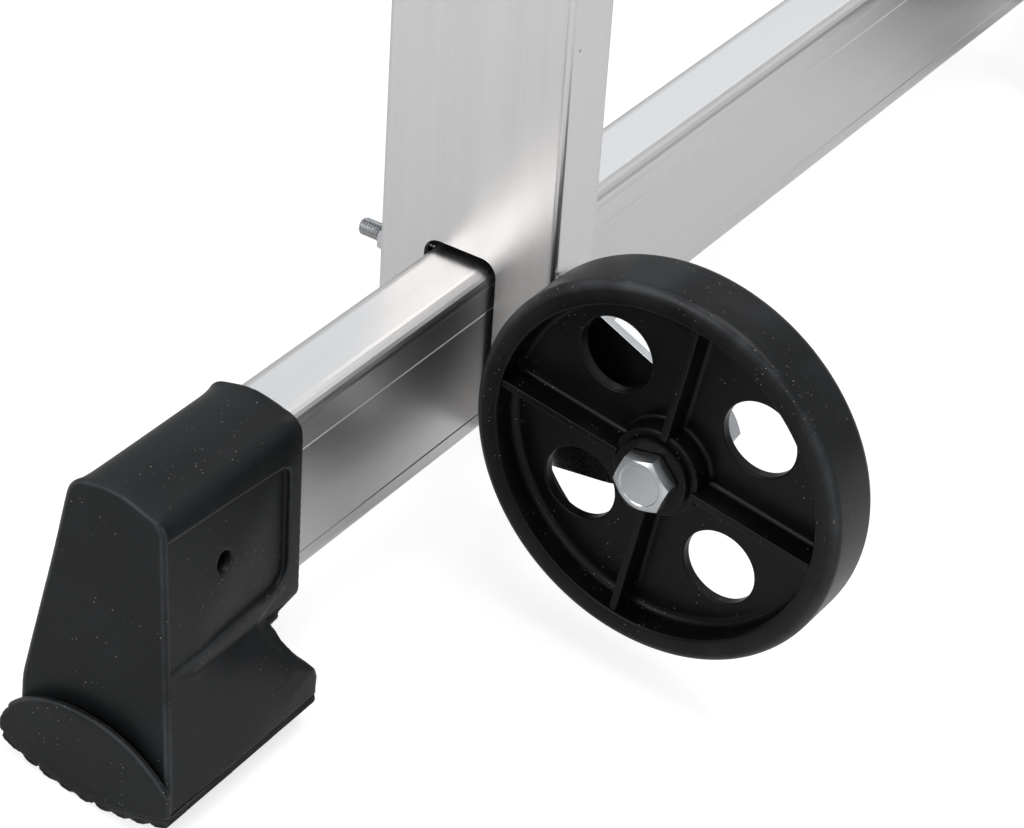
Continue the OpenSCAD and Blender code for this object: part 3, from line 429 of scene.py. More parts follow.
def aluminium(name, turn, roughness=0.34, light=LIGHT_ALUMINIUM, dark=GREY_ALUMINIUM, marks=0.5):
    """Mill-finish aluminium whose length is turned to X by an angle about each axis, in degrees."""
    material, tree, shader, place = new_material(name)
    angles = [math.radians(a) for a in turn]
    along = node(tree, "ShaderNodeMapping", {"Vector": place, "Rotation": angles})
    lines = use(tree, drawn_lines, Coordinates=along.outputs[0], Line_width=0.0007, Band_width=0.008)
    rubs = use(tree, hand_marks, Coordinates=along.outputs[0], Mark_size=0.0045, Amount=marks)
    tone = weighed(tree, (lines["Bands"], 0.6), (lines["Lines"], 0.4))
    clean = mixed(tree, ramp(tree, tone, 0.35, 0.65), dark, light)
    dirt = weighed(tree, (rubs["Marks"], 0.45), (rubs["Pits"], 0.8), clamp=True)
    wire(tree, mixed(tree, dirt, clean, MARK_GREY), shader.inputs["Base Color"])
    shader.inputs["Metallic"].default_value = 1.0
    rough = ramp(tree, lines["Bands"], 0.3, 0.7, roughness - 0.03, roughness + 0.03)
    wire(tree, weighed(tree, (rough, 1), (dirt, 0.2)), shader.inputs["Roughness"])
    bumped(tree, shader, maths(tree, "SUBTRACT", lines["Lines"], dirt), 0.00002, 0.25)
    return material


bar_aluminium = aluminium("aluminium_along_bars", (0, 0, 0), 0.32)
rail_aluminium = aluminium("aluminium_along_deck", (0, 0, -90))
near_stile_aluminium = aluminium("aluminium_near_stiles", (8, 90, 0))
far_stile_aluminium = aluminium("aluminium_far_stiles", (-8, 90, 0))
plank_aluminium = aluminium("aluminium_planks", (0, 0, -90), 0.4, (0.58, 0.585, 0.59, 1),
                            (0.51, 0.515, 0.52, 1), 0.7)
print("aluminium materials", len([m for m in bpy.data.materials if m.name.startswith("aluminium")]))

# %% [markdown]
# ## Zinc and steel
# Bolts, nuts, plates and brackets are bright zinc-plated steel. The plating is bluish white, a little
# cloudy, and it has hairline scratches in every direction.

# %% Zinc
def plated(name, light, dark, roughness):
    """Bright plated steel with a cloudy tone."""
    material, tree, shader, place = new_material(name)
    grain = use(tree, moulded_grain, Coordinates=place, Grain_size=0.0011)
    rubs = use(tree, hand_marks, Coordinates=place, Mark_size=0.0022, Amount=0.5)
    cloud = weighed(tree, (grain["Cloud"], 0.85), (grain["Grain"], 0.15))
    wire(tree, mixed(tree, ramp(tree, cloud, 0.35, 0.65), dark, light), shader.inputs["Base Color"])
    shader.inputs["Metallic"].default_value = 1.0
    rough = ramp(tree, grain["Cloud"], 0.3, 0.7, roughness - 0.03, roughness + 0.04)
    wire(tree, weighed(tree, (rough, 1), (rubs["Marks"], 0.04)), shader.inputs["Roughness"])
    bumped(tree, shader, grain["Grain"], 0.000008, 0.4)
    return material


zinc = plated("zinc_plate", (0.51, 0.52, 0.53, 1), (0.42, 0.43, 0.445, 1), 0.22)
spring_steel = plated("spring_steel", (0.42, 0.42, 0.42, 1), (0.32, 0.32, 0.33, 1), 0.3)

# %% [markdown]
# ## Black plastic and rubber
# Feet, caps and wheels are moulded black plastic. It isn't pure black: it has a faint blue, a fine
# grain that spreads the highlights, lighter rubbed patches, and white dust specks. The treads under the
# feet are a duller rubber.

# %% Black plastic
WEAR_AND_HIGHLIGHT_GREY, DUST_WHITE = (0.065, 0.067, 0.070, 1), (0.62, 0.62, 0.60, 1)


def moulded(name, black, rubbed, roughness, gloss, grain_size, depth, dust):
    """Moulded plastic or rubber with grain, rubbed patches, dust, and lighter marked edges: wear, and on
    the wheel's rim also a painted highlight.
    """
    material, tree, shader, place = new_material(name)
    shader.inputs["Specular IOR Level"].default_value = gloss
    grain = use(tree, moulded_grain, Coordinates=place, Grain_size=grain_size)
    rim = node(tree, "ShaderNodeAttribute", attribute_name="edge").outputs["Fac"]
    amount = weighed(tree, (dust, 1), (rim, 2.0))
    specks = use(tree, white_dust, Coordinates=place, Speck_size=0.0002, Spacing=0.0016, Amount=amount)
    lint = use(tree, white_dust, Coordinates=stretched(tree, place, (1.0, 0.22, 0.5)),
               Speck_size=0.00014, Spacing=0.005, Amount=dust * 0.6)
    dirt = maths(tree, "MAXIMUM", specks["Dust"], maths(tree, "MULTIPLY", lint["Dust"], 0.6))
    clean = mixed(tree, ramp(tree, grain["Cloud"], 0.45, 0.75), black, rubbed)
    # Marked edges turn a lighter grey: wear, and on the wheel's rim also a painted highlight
    edge_wear_and_highlight = maths(tree, "MULTIPLY", rim, ramp(tree, grain["Cloud"], 0.35, 0.65, 0.2, 0.9))
    clean = mixed(tree, edge_wear_and_highlight, clean, WEAR_AND_HIGHLIGHT_GREY)
    wire(tree, mixed(tree, maths(tree, "MULTIPLY", dirt, 0.7), clean, DUST_WHITE),
         shader.inputs["Base Color"])
    rough = ramp(tree, grain["Cloud"], 0.3, 0.7, roughness - 0.05, roughness + 0.07)
    wire(tree, weighed(tree, (rough, 1), (dirt, 0.3)), shader.inputs["Roughness"])
    bumped(tree, shader, grain["Grain"], depth, 0.6)
    return material


foot_plastic = moulded("foot_plastic", (0.0050, 0.0057, 0.0063, 1), (0.0095, 0.0107, 0.0118, 1),
                       roughness=0.40, gloss=0.15, grain_size=0.0005, depth=0.00005, dust=1.0)
wheel_plastic = moulded("wheel_plastic", (0.0023, 0.0026, 0.0029, 1), (0.0050, 0.0054, 0.0058, 1),
                        roughness=0.32, gloss=0.13, grain_size=0.0006, depth=0.00004, dust=1.8)
tread_rubber = moulded("tread_rubber", (0.008, 0.0083, 0.0085, 1), (0.015, 0.015, 0.0155, 1),
                       roughness=0.62, gloss=0.14, grain_size=0.0008, depth=0.00010, dust=0.8)
cap_plastic = moulded("cap_plastic", (0.007, 0.0075, 0.008, 1), (0.012, 0.013, 0.014, 1),
                      roughness=0.46, gloss=0.2, grain_size=0.0006, depth=0.00005, dust=0.4)
print("materials", len(bpy.data.materials))

# %% [markdown]
# ## Finishes on the CAD parts
# The extruded sections already have their real shape in the CAD model, so they only get a material.
# Which one depends on the direction that each section runs in.

# %% CAD finishes
def finish(material, *names):
    """Puts a material on CAD nodes in place of their plain one."""
    for name in names:
        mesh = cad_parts[name].data
        mesh.materials.clear()
        mesh.materials.append(material)


finish(rail_aluminium, "deck_rail_left", "deck_rail_right")
finish(bar_aluminium, "deck_end_member_near", "deck_end_member_far", "deck_crossbars",
       *[f"{end}_{part}" for end in ENDS for part in ("rung_lower", "rung_upper", "base_bar")])
finish(near_stile_aluminium, "near_stile_left", "near_stile_right")
finish(far_stile_aluminium, "far_stile_left", "far_stile_right")
finish(plank_aluminium, "plank_rivets", *[f"deck_plank_{i}" for i in (1, 2, 3, 4)])
finish(spring_steel, "lock_springs")
print("CAD nodes", len(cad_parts))

# %% [markdown]
# ## Feet
# A foot is moulded in one piece, so none of its edges is sharp. Its CAD solid has the right form with
# hard edges. Remeshing a copy into small even quads and relaxing them rounds every edge and corner a
# little, as a mould does. The broad sides of the real foot twist gently, where the CAD solid has two
# flat triangles, so the quads that lie away from any real edge are relaxed much longer. A few soft
# forms are then moved to where the photograph has them. The distance to the nearest outer edge is kept
# as an attribute, which the plastic reads for its wear and dust.

# %% Edges of a CAD copy
EDGE_STEP = 0.5


def edge_points(bm, angle, convex=False):
    """Closely spaced points on the edges that are sharper than an angle in degrees."""
    spots = []
    for edge in bm.edges:
        turn = edge.calc_face_angle_signed(math.pi)
        if (turn if convex else abs(turn)) > math.radians(angle):
            a, b = (v.co for v in edge.verts)
            count = max(1, math.ceil((b - a).length / (EDGE_STEP * MM)))
            spots += [a.lerp(b, i / count) for i in range(count + 1)]
    tree = KDTree(len(spots))
    for i, spot in enumerate(spots):
        tree.insert(spot, i)
    tree.balance()
    return tree


def mark_edges(thing, tree):
    """Writes how near each point is to an edge: 1 on it, 0 from a millimetre away."""
    near = [max(0.0, 1 - tree.find(v.co)[2] / MM) for v in thing.data.vertices]
    thing.data.attributes.new("edge", "FLOAT", "POINT").data.foreach_set("value", near)


# %% Remould
FLAT_FROM, FLAT_RISE = 0.9, 1.5


def relaxed(thing, rounds, weight=None):
    """Smooths a mesh, all over or by the weight that a function gives for each of its points."""
    modifier = thing.modifiers.new("relax", "SMOOTH")
    modifier.factor, modifier.iterations = 0.5, rounds
    if weight:
        group = thing.vertex_groups.new(name="relaxed")
        for v in thing.data.vertices:
            share = weight(v.co)
            if share > 0:
                group.add([v.index], share, "REPLACE")
        modifier.vertex_group = group.name
    worked_out(thing)
    thing.vertex_groups.clear()


def remoulded(node_name, name, voxel, relax, settle, keep, part=lambda spot: 1):
    """A CAD node in small quads, relaxed a little at its edges and much more away from them."""
    bm = cad_copy(node_name)
    edges, outer = edge_points(bm, 12), edge_points(bm, 28, convex=True)
    thing = new_object(name, bm)
    remesh = thing.modifiers.new("quads", "REMESH")
    remesh.mode, remesh.voxel_size = "VOXEL", voxel * MM
    relaxed(thing, relax)
    if settle:
        relaxed(thing, settle, lambda spot: min(
            1.0, (edges.find(spot)[2] / MM - FLAT_FROM) / FLAT_RISE) * part(spot))
    thing.modifiers.new("fewer", "DECIMATE").ratio = keep
    worked_out(thing)
    mark_edges(thing, outer)
    return thing


def mirrored_copy(thing, name, to_frame):
    """A copy of a near left piece in another corner."""
    bm = bmesh.new()
    bm.from_mesh(thing.data)
    return new_object(name, moved(bm, to_frame @ to_near_left))


# %% Feet
def ease(value, low, high):
    """0 below the low value, 1 above the high one and a smooth rise between them."""
    t = min(1.0, max(0.0, (value - low) / (high - low)))
    return t * t * (3 - 2 * t)


# The sleeve's start, the foot's length from there, and the sleeve's underside and sides
SLEEVE_X, FOOT_L, SLEEVE_LOW, SLEEVE_SIDES = -103, 67, -3.2, (-5.8, 29.8)
PANEL_X, PANEL_LOW, PANEL_HIGH, PANEL_RISE = -109.6, 8.0, 50.0, 0.09
END_X, END_TOP, END_SLOPE = -168.0, 64.4, 0.1233
SWELL, DEEPER = 1.9, 0.9
# Where the neck and the heel end at each height, in the CAD solid and in the moulded foot
NECK_Z = (-28, -24, -22, -20, -17, -12, -5, -3, 0, 1.5, 4, 6)
NECK_CAD = (-108, -108, -108, -108.9, -111.6, -116, -116, -116, -117.5, -117.5, -117.5, -117.5)
NECK_X = (-107.5, -107, -107.8, -109.5, -111.8, -116, -119, -120, -121.5, -122.1, -121.8, -117.5)
NECK_SOFT = 6.0
LENS_X, LENS_Y, LENS_Z, LENS_R = -173, 13.5, -45.2, 40.0
LENS_END, LENS_END_Z = 1.5, -24


def settled_part(spot):
    """Everything but the neck and the heel, which have small round corners of their own."""
    x, _, z = to_near_left @ spot
    return 1 - ease(x, -126, -120) * ease(-z, -4, 0)


def lens_edge(spot):
    """The rim of the round lens on the end wall, which is rounder than the other edges."""
    x, y, z = to_near_left @ spot
    off_edge = abs(math.hypot(y - LENS_Y, z - LENS_Z) - LENS_R)
    return 1 - ease(off_edge, 1.2, 3.5) if x < LENS_X else 0


def shaped(spot):
    """Where a point of the CAD foot lies in the real moulding."""
    x, y, z = to_near_left @ spot
    # The far upper corner of the end wall is fuller
    swell = SWELL * (0.3 + 0.7 * (SLEEVE_X - x) / FOOT_L)
    wider = swell * ease(y, 8, 22) * ease(z, -20, -4)
    higher = swell * ease(y, 0, 20) * ease(z, 35, 57)
    # The sunk panels keep their step as far as the end wall
    climb = z - PANEL_RISE * (PANEL_X - x)
    inside = x - END_X + END_SLOPE * (END_TOP - z)
    sunk = (DEEPER * ease(-x, 112, 150) * ease(inside, 0.4, 1.6)
            * ease(climb, PANEL_LOW, PANEL_LOW + 0.7) * ease(PANEL_HIGH - climb, 0, 0.7)
            * (ease(-y, 1.5, 3) - ease(y, 25.5, 27)))
    # The neck is hollower, and the heel's corner rounder
    start = np.interp(z, NECK_Z, NECK_X) - NECK_SOFT
    past = (x - start) / (np.interp(z, NECK_Z, NECK_CAD) - start)
    if past > 0 and z < NECK_Z[-1] and (z < SLEEVE_LOW or not SLEEVE_SIDES[0] < y < SLEEVE_SIDES[1]):
        x = start + NECK_SOFT * min(1, past)
    # The lens has a round end
    bulge = max(-2, LENS_END - 0.06 * (z - LENS_END_Z) ** 2) * ease(y, 36, 42)
    bulge *= (1 - ease(inside, -0.4, 0.8)) * ease(-z, 15, 18)
    return near_left @ Vector((x, y + wider + sunk + bulge, z + higher))


mould = remoulded("near_foot_left", "foot_mould", voxel=0.45, relax=5, settle=1000, keep=0.45,
                  part=settled_part)
relaxed(mould, 14, lens_edge)
for v in mould.data.vertices:
    v.co = shaped(v.co)
for end in ENDS:
    for side in SIDES:
        foot_node = f"{end}_foot_{side}"
        foot = mirrored_copy(mould, foot_node + "_moulded", corner_frame(end, side))
        foot.data.shade_smooth()
        piece(foot, end + "_leg_frame", foot_plastic, foot_node)
bpy.data.objects.remove(mould)

# %% Treads
SOLE_R, SOLE_MID, SOLE_UP = 72.0, 9.0, 35.0
# The tread's grooves, all that lies within this depth, keep half of theirs
GROOVE_T, GROOVE_SHARE = 1.4, 0.5
for end in ENDS:
    tread_node = f"{end}_treads"
    tread = remoulded(tread_node, tread_node + "_moulded", voxel=0.5, relax=3, settle=0, keep=0.6)
    to_world = corner_frame(end, "left")
    to_leg = to_world.inverted()
    for v in tread.data.vertices:
        x, y, z = to_leg @ v.co
        reach = math.hypot(y - SOLE_MID, z - SOLE_UP)
        if reach > SOLE_R - GROOVE_T:
            grow = (SOLE_R - (SOLE_R - reach) * GROOVE_SHARE) / reach
            v.co = to_world @ Vector(
                (x, SOLE_MID + (y - SOLE_MID) * grow, SOLE_UP + (z - SOLE_UP) * grow))
    tread.data.shade_smooth()
    piece(tread, end + "_leg_frame", tread_rubber, tread_node)

# %% [markdown]
# ## Wheels
# A wheel is one moulding: a rim, a thin web with four round holes, four ribs and a hub. The section is
# turned on the lathe with its fillets drawn in. The holes are cut with spool-shaped cutters, which
# leave a rounded lip, and the ribs have flared roots, so the join to the web has a fillet too.

# %% Wheel sizes
WHEEL_R, WHEEL_BACK, WHEEL_FRONT = 64.0, -3.5, -25.5
RECESS_R, WEB_FRONT, WEB_BACK = 56.0, -16.0, -12.0
HUB_R, HUB_FRONT, HUB_BACK = 15.0, -23.5, -2.3
BORE_R, HOLE_R, HOLE_REACH = 7.06, 12.5, 36.5
RIB_TURN, RIB_HALF, RIB_FRONT = 10.0, 1.3, -24.5
AXLE = (0.0, -76.8, 30.5)


def wheel_section():
    """The wheel's section as (radius, X) pairs, from the bore's front round to its back."""
    edge, lip, root, hub = 3.2, 1.0, 3.0, 1.5
    return ([(BORE_R, HUB_FRONT)] + arc((HUB_R - lip, HUB_FRONT + lip), lip, -90, 0, 4)
            + arc((HUB_R + hub, WEB_FRONT - hub), hub, 180, 90, 4)
            + arc((RECESS_R - root, WEB_FRONT - root), root, 90, 0, 8)
            + arc((RECESS_R + lip, WHEEL_FRONT + lip), lip, 180, 270, 4)
            + arc((WHEEL_R - edge, WHEEL_FRONT + edge), edge, -90, 0, 8)
            + arc((WHEEL_R - edge, WHEEL_BACK - edge), edge, 0, 90, 8)
            + arc((RECESS_R + lip, WHEEL_BACK - lip), lip, 90, 180, 4)
            + arc((RECESS_R - root, WEB_BACK + root), root, 0, -90, 8)
            + arc((HUB_R + hub, WEB_BACK + hub), hub, -90, -180, 4)
            + arc((HUB_R - lip, HUB_BACK - lip), lip, 0, 90, 4) + [(BORE_R, HUB_BACK)])


def hole_cutter():
    """A spool that cuts one hole and rounds its two lips."""
    lip, past = 0.7, 4
    low, high = WEB_FRONT, WEB_BACK
    return ([(0, low - past), (HOLE_R + lip, low - past)]
            + arc((HOLE_R + lip, low + lip), lip, 270, 180, 5)
            + arc((HOLE_R + lip, high - lip), lip, 180, 90, 5)
            + [(HOLE_R + lip, high + past), (0, high + past)])


def rib_outline():
    """The section of a rib as (thickness, X) pairs, with its root flared into the web."""
    flare, tip = 1.6, 0.4
    half = ([(0, RIB_FRONT)] + arc((RIB_HALF - tip, RIB_FRONT + tip), tip, -90, 0, 3)
            + arc((RIB_HALF + 0.3 + flare, WEB_FRONT - flare), flare, 180, 90, 5)
            + [(RIB_HALF + flare, WEB_FRONT + 1)])
    return half + [(-x, y) for x, y in reversed(half[1:])]


# %% Make a wheel
def combined(thing, tool, operation):
    """Cuts with a tool, or joins it on, and removes the tool."""
    modifier = thing.modifiers.new(operation.lower(), "BOOLEAN")
    modifier.operation, modifier.object, modifier.solver = operation, tool, "EXACT"
    worked_out(thing)
    bpy.data.objects.remove(tool)
    return thing


# Takes Z to X, X to Y and Y to Z
TO_X = Matrix(((0, 0, 1, 0), (1, 0, 0, 0), (0, 1, 0, 0), (0, 0, 0, 1)))
# How far the lighter band along the rim's outer edges reaches, in millimetres: wear and dust, and a
# painted highlight
RIM_WEAR_AND_HIGHLIGHT = 3.0


def wheel_mesh(name):
    """A wheel about the Z axis, its front at the lowest Z, in millimetres."""
    wheel = new_object(name, lathe(wheel_section(), 144, closed=True))
    cutters, ribs = [], []
    for k in range(4):
        turn = Matrix.Rotation(math.radians(RIB_TURN + 90 * k), 4, "Z")
        diagonal = turn @ Matrix.Rotation(math.radians(45), 4, "Z")
        at_hole = diagonal @ Matrix.Translation((HOLE_REACH, 0, 0))
        cutters.append(moved(lathe(hole_cutter(), 64), at_hole))
        ribs.append(moved(prism(rib_outline(), HUB_R - 1.5, RECESS_R + 0.6), turn @ TO_X))
    combined(wheel, new_object("hole_cutters", joined(*cutters)), "DIFFERENCE")
    return combined(wheel, new_object("ribs", joined(*ribs)), "UNION")


for side in SIDES:
    wheel = wheel_mesh(f"wheel_{side}_moulded")
    place = corner_frame("near", side) @ Matrix.Translation(AXLE) @ TO_X
    bm = bmesh.new()
    bm.from_mesh(wheel.data)
    bmesh.ops.remove_doubles(bm, verts=bm.verts, dist=0.002)
    # The rim's outer edges are marked for the plastic to lighten: wear and dust, and a painted highlight
    # along them. The running surface gets a little of it all round
    rim_wear_and_highlight = bm.verts.layers.float.new("edge")
    for v in bm.verts:
        outwards = math.hypot(v.co.x, v.co.y) - (WHEEL_R - 1)
        forwards = min(abs(v.co.z - (WHEEL_FRONT + 1)), abs(v.co.z - (WHEEL_BACK - 1)))
        v[rim_wear_and_highlight] = max(0.15 if outwards > 0 else 0.0, 1 - math.hypot(outwards, forwards) / RIM_WEAR_AND_HIGHLIGHT)
    moved(bm, place)
    bm.to_mesh(wheel.data)
    bm.free()
    piece(weighted(smooth(wheel)), side + "_wheel", wheel_plastic, "wheel_" + side)

# %% [markdown]
# ## Softened parts
# Plates, caps, sleeves and housings have the right shape in CAD but razor edges, and a real edge always
# catches a little light. A narrow bevel on a merged copy of each gives that.

# %% Soft edges
SOFT_EDGES = [
    ("rail_caps", 0.7, "deck", cap_plastic),
    ("hinge_plates_outer", 0.35, "deck", zinc),
    ("hinge_plates_inner", 0.35, "deck", zinc),
    ("stop_sleeves", 0.3, "deck", zinc),
    ("lock_housings", 0.4, "deck", zinc),
    ("wheel_bracket_left", 0.3, "near_leg_frame", zinc),
    ("wheel_bracket_right", 0.3, "near_leg_frame", zinc),
    ("wheel_bushes", 0.4, "near_leg_frame", wheel_plastic),
    ("bracket_rivets", 0.4, "near_leg_frame", zinc),
]
for end in ENDS:
    for part, width in (("stile_caps", 0.6), ("stile_plugs", 0.6), ("pivot_bushes", 0.2)):
        SOFT_EDGES.append((f"{end}_{part}", width, end + "_leg_frame", cap_plastic))
for cad_name, width, body, material in SOFT_EDGES:
    piece(softened(cad_name, width, cad_name + "_soft"), body, material, cad_name)

# %% [markdown]
# ## Bolts and nuts
# All bolts have a hexagon head with the curved bright edges that the chamfer leaves on it, a shallow
# dish in its face, a flat washer and a cut thread. A head is drawn once for each size, and Geometry
# Nodes set it on a cloud of points, which carry the direction and the turn of each bolt.

# %% Bolt and nut shapes
HEX_AF = {6: 10.0, 8: 13.0, 10: 17.0}
PITCH = {6: 1.0, 8: 1.25, 10: 1.5}


def hexagon(flats, low, high, dish=0.0, hole=0.0):
    """A hexagonal head or nut from one height to another, chamfered at its top."""
    bm = bmesh.new()
    steps, inner = 72, flats / 2
    bright = 0.95 * inner

    def edge_radius(i):
        return inner / math.cos(math.radians((i * 360 / steps) % 60 - 30))

    def chamfer(i):
        return math.tan(math.radians(30)) * (edge_radius(i) - bright)

    def circle(radius, height):
        return ring(bm, steps, lambda i: radius, lambda i: height)

    rings = [circle(bright, low), ring(bm, steps, edge_radius, lambda i: low + 0.3 * chamfer(i)),
             ring(bm, steps, edge_radius, lambda i: high - chamfer(i)), circle(bright, high)]
    if hole:
        rings += [circle(hole + 0.5, high), circle(hole, high - 0.6), circle(hole, low)]
    else:
        rings += [circle(0.82 * inner, high), circle(0.78 * inner, high - dish)]
    return skinned(bm, rings, closed=hole > 0, ends=not hole)


def thread(diameter, low, high):
    """A threaded rod: its radius follows a triangle wave that climbs round it."""
    pitch, steps = PITCH[diameter], 24
    bm = bmesh.new()

    def radius(i, height):
        phase = (height / pitch - i / steps) % 1
        taper = min(1, (high - height) / (0.8 * pitch))
        return diameter / 2 - pitch * max(0.495 * (1 - abs(2 * phase - 1)), 0.6 * (1 - taper))

    heights = np.linspace(low, high, int((high - low) / pitch * 5) + 1)
    rings = [ring(bm, steps, lambda i: radius(i, z), lambda i: z) for z in heights]
    return skinned(bm, rings, ends=True)


def bolt_shape(diameter, length, plain, washer=True):
    """A bolt along Z: head below the seat, washer on it, plain shank and then thread above."""
    seat = 1.6 if washer else 0
    top = 0.64 * diameter
    head = moved(hexagon(HEX_AF[diameter], 0.4, top, dish=0.25), Matrix.Diagonal((1, 1, -1, 1))
                 @ Matrix.Translation((0, 0, seat)))
    collar = lathe([(0, -seat - 0.45), (0.46 * HEX_AF[diameter], -seat - 0.45),
                    (0.46 * HEX_AF[diameter], -seat), (0, -seat)], 48)
    parts = [head, collar]
    if washer:
        edge = 1.05 * diameter
        parts.append(lathe([(0, -seat), (edge - 0.3, -seat), (edge, -seat + 0.3), (edge, -0.3),
                            (edge - 0.3, 0), (0, 0)], 48))
    parts.append(lathe([(0, -0.1), (diameter / 2, -0.1), (diameter / 2, plain), (0, plain)], 32))
    parts.append(thread(diameter, plain - 0.05, length))
    return joined(*parts)


def nut_shape(diameter):
    """A flange nut along Z with its flange on the origin."""
    reach, bore = 1.05 * diameter, diameter / 2 + 0.1
    flange = lathe([(bore, 0), (reach - 0.3, 0), (reach, 0.3), (reach, 0.9), (reach - 1.2, 1.9),
                    (bore, 1.9)], 48, closed=True)
    return joined(flange, hexagon(HEX_AF[diameter], 1.7, 0.85 * diameter, hole=bore))


# %% Set fasteners on points
def fastener_tree():
    """Geometry Nodes: one shape on every point, turned by the point's axis and spin."""
    tree = bpy.data.node_groups.new("Set fasteners", "GeometryNodeTree")
    for label, kind in (("Points", "Geometry"), ("Shape", "Object"), ("Size", "Float"),
                        ("Finish", "Material")):
        tree.interface.new_socket(label, in_out="INPUT", socket_type="NodeSocket" + kind)
    tree.interface.new_socket("Set", in_out="OUTPUT", socket_type="NodeSocketGeometry")
    given = tree.nodes.new("NodeGroupInput").outputs
    shape = node(tree, "GeometryNodeObjectInfo", {"Object": given["Shape"]})
    axis = node(tree, "GeometryNodeInputNamedAttribute", {"Name": "axis"}, data_type="FLOAT_VECTOR")
    spin = node(tree, "GeometryNodeInputNamedAttribute", {"Name": "spin"}, data_type="FLOAT")
    upright = node(tree, "FunctionNodeAlignRotationToVector", {"Vector": axis.outputs[0]}, axis="Z")
    about = node(tree, "FunctionNodeAxisAngleToRotation", {"Axis": (0, 0, 1), "Angle": spin.outputs[0]})
    turned = node(tree, "FunctionNodeRotateRotation", {"Rotation": upright.outputs[0],
                                                       "Rotate By": about.outputs[0]},
                  rotation_space="LOCAL")
    copies = node(tree, "GeometryNodeInstanceOnPoints",
                  {"Points": given["Points"], "Instance": shape.outputs["Geometry"],
                   "Rotation": turned.outputs[0], "Scale": given["Size"]})
    real = node(tree, "GeometryNodeRealizeInstances", {"Geometry": copies.outputs[0]})
    painted = node(tree, "GeometryNodeSetMaterial", {"Geometry": real.outputs[0],
                                                     "Material": given["Finish"]})
    tree.links.new(painted.outputs[0], tree.nodes.new("NodeGroupOutput").inputs["Set"])
    return tree


set_fasteners = fastener_tree()
socket_id = {s.name: s.identifier for s in set_fasteners.interface.items_tree if s.in_out == "INPUT"}


def fasteners(name, shape, places, body, cad_name):
    """A piece with a zinc shape at places, each (matrix, spot, direction, spin in degrees)."""
    prototype = smooth(new_object(name + "_shape", shape), math.radians(24))
    cloud = bpy.data.meshes.new(name)
    cloud.from_pydata([m @ Vector(spot) for m, spot, _, _ in places], [], [])
    axes = [(m.to_3x3() @ Vector(way)).normalized() for m, _, way, _ in places]
    cloud.attributes.new("axis", "FLOAT_VECTOR", "POINT").data.foreach_set(
        "vector", [c for axis in axes for c in axis])
    cloud.attributes.new("spin", "FLOAT", "POINT").data.foreach_set(
        "value", [math.radians(turn) for _, _, _, turn in places])
    thing = linked(name, cloud)
    modifier = thing.modifiers.new("set", "NODES")
    modifier.node_group = set_fasteners
    modifier[socket_id["Shape"]] = prototype
    modifier[socket_id["Size"]] = MM
    modifier[socket_id["Finish"]] = zinc
    worked_out(thing)
    bpy.data.objects.remove(prototype)
    piece(thing, body, zinc, cad_name)


# %% Bolts on the deck
STILE_W, STILE_OUT, STILE_IN = 66.0, -23.0, 43.0
PLATE_OUT, PLATE_IN = -5.0, 28.0
STOP_D, STOP_DOWN, STOP_GAP = 12.0, 30.0, 0.3
stop_off = (STILE_W + STOP_D) / 2 + STOP_GAP
STOP = [(-STOP_DOWN * math.sin(LEAN) - stop_off * math.cos(LEAN),
         -STOP_DOWN * math.cos(LEAN) + stop_off * math.sin(LEAN))]
RAIL_BOLTS, PIVOT_BOLT = [(-21.0, 70.0), (21.0, 70.0)], [(0.0, 0.0)]
luck = np.random.default_rng(7)
pivots = [corner_frame(end, side, pivot=True) for end in ENDS for side in SIDES]


def by_chance(frames, way, spots):
    """Places at spots in each frame, each fastener turned by chance."""
    return [(m, spot, way, luck.uniform(0, 60)) for m in frames for spot in spots]


through = PLATE_IN - PLATE_OUT
DECK_FASTENERS = [
    ("rail_bolts", bolt_shape(8, through + 9.8, 22), PLATE_OUT, RAIL_BOLTS, "hinge_bolts"),
    ("stop_bolts", bolt_shape(6, through + 8.1, 22), PLATE_OUT, STOP, "hinge_bolts"),
    ("pivot_bolt_set", bolt_shape(10, through + 11.5, 27), PLATE_OUT, PIVOT_BOLT, "pivot_bolts"),
    ("rail_nuts", nut_shape(8), PLATE_IN, RAIL_BOLTS, "hinge_nuts"),
    ("stop_nuts", nut_shape(6), PLATE_IN, STOP, "hinge_nuts"),
    ("pivot_nut_set", nut_shape(10), PLATE_IN, PIVOT_BOLT, "pivot_nuts"),
]
for name, shape, x, spots, cad_name in DECK_FASTENERS:
    places = by_chance(pivots, (1, 0, 0), [(x, *spot) for spot in spots])
    fasteners(name, shape, places, "deck", cad_name)

# %% Bolts on the leg frames
BAR_BOLT_X, BAR_BOLT_Z, BAR_BOLT_L, BRACKET = 11.5, 49.0, 80.0, 3.0
for end in ENDS:
    corners = [corner_frame(end, side) for side in SIDES]
    extra = BRACKET if end == "near" else 0.0
    heads = by_chance(corners, (0, 1, 0), [(BAR_BOLT_X, STILE_OUT - extra, BAR_BOLT_Z)])
    tails = by_chance(corners, (0, 1, 0), [(BAR_BOLT_X, STILE_IN, BAR_BOLT_Z)])
    body, bolt = end + "_leg_frame", bolt_shape(6, BAR_BOLT_L + extra, 55)
    fasteners(end + "_bar_bolt_set", bolt, heads, body, end + "_bar_bolts")
    fasteners(end + "_bar_nut_set", nut_shape(6), tails, body, end + "_bar_nuts")

# %% Axles
AXLE_HEAD, AXLE_L, AXLE_WASHER = -25.8, 40.3, 2.0


def on_axles(x, spin):
    """Places on both wheel axles."""
    return [(corner_frame("near", side), (x, *AXLE[1:]), (1, 0, 0), spin) for side in SIDES]


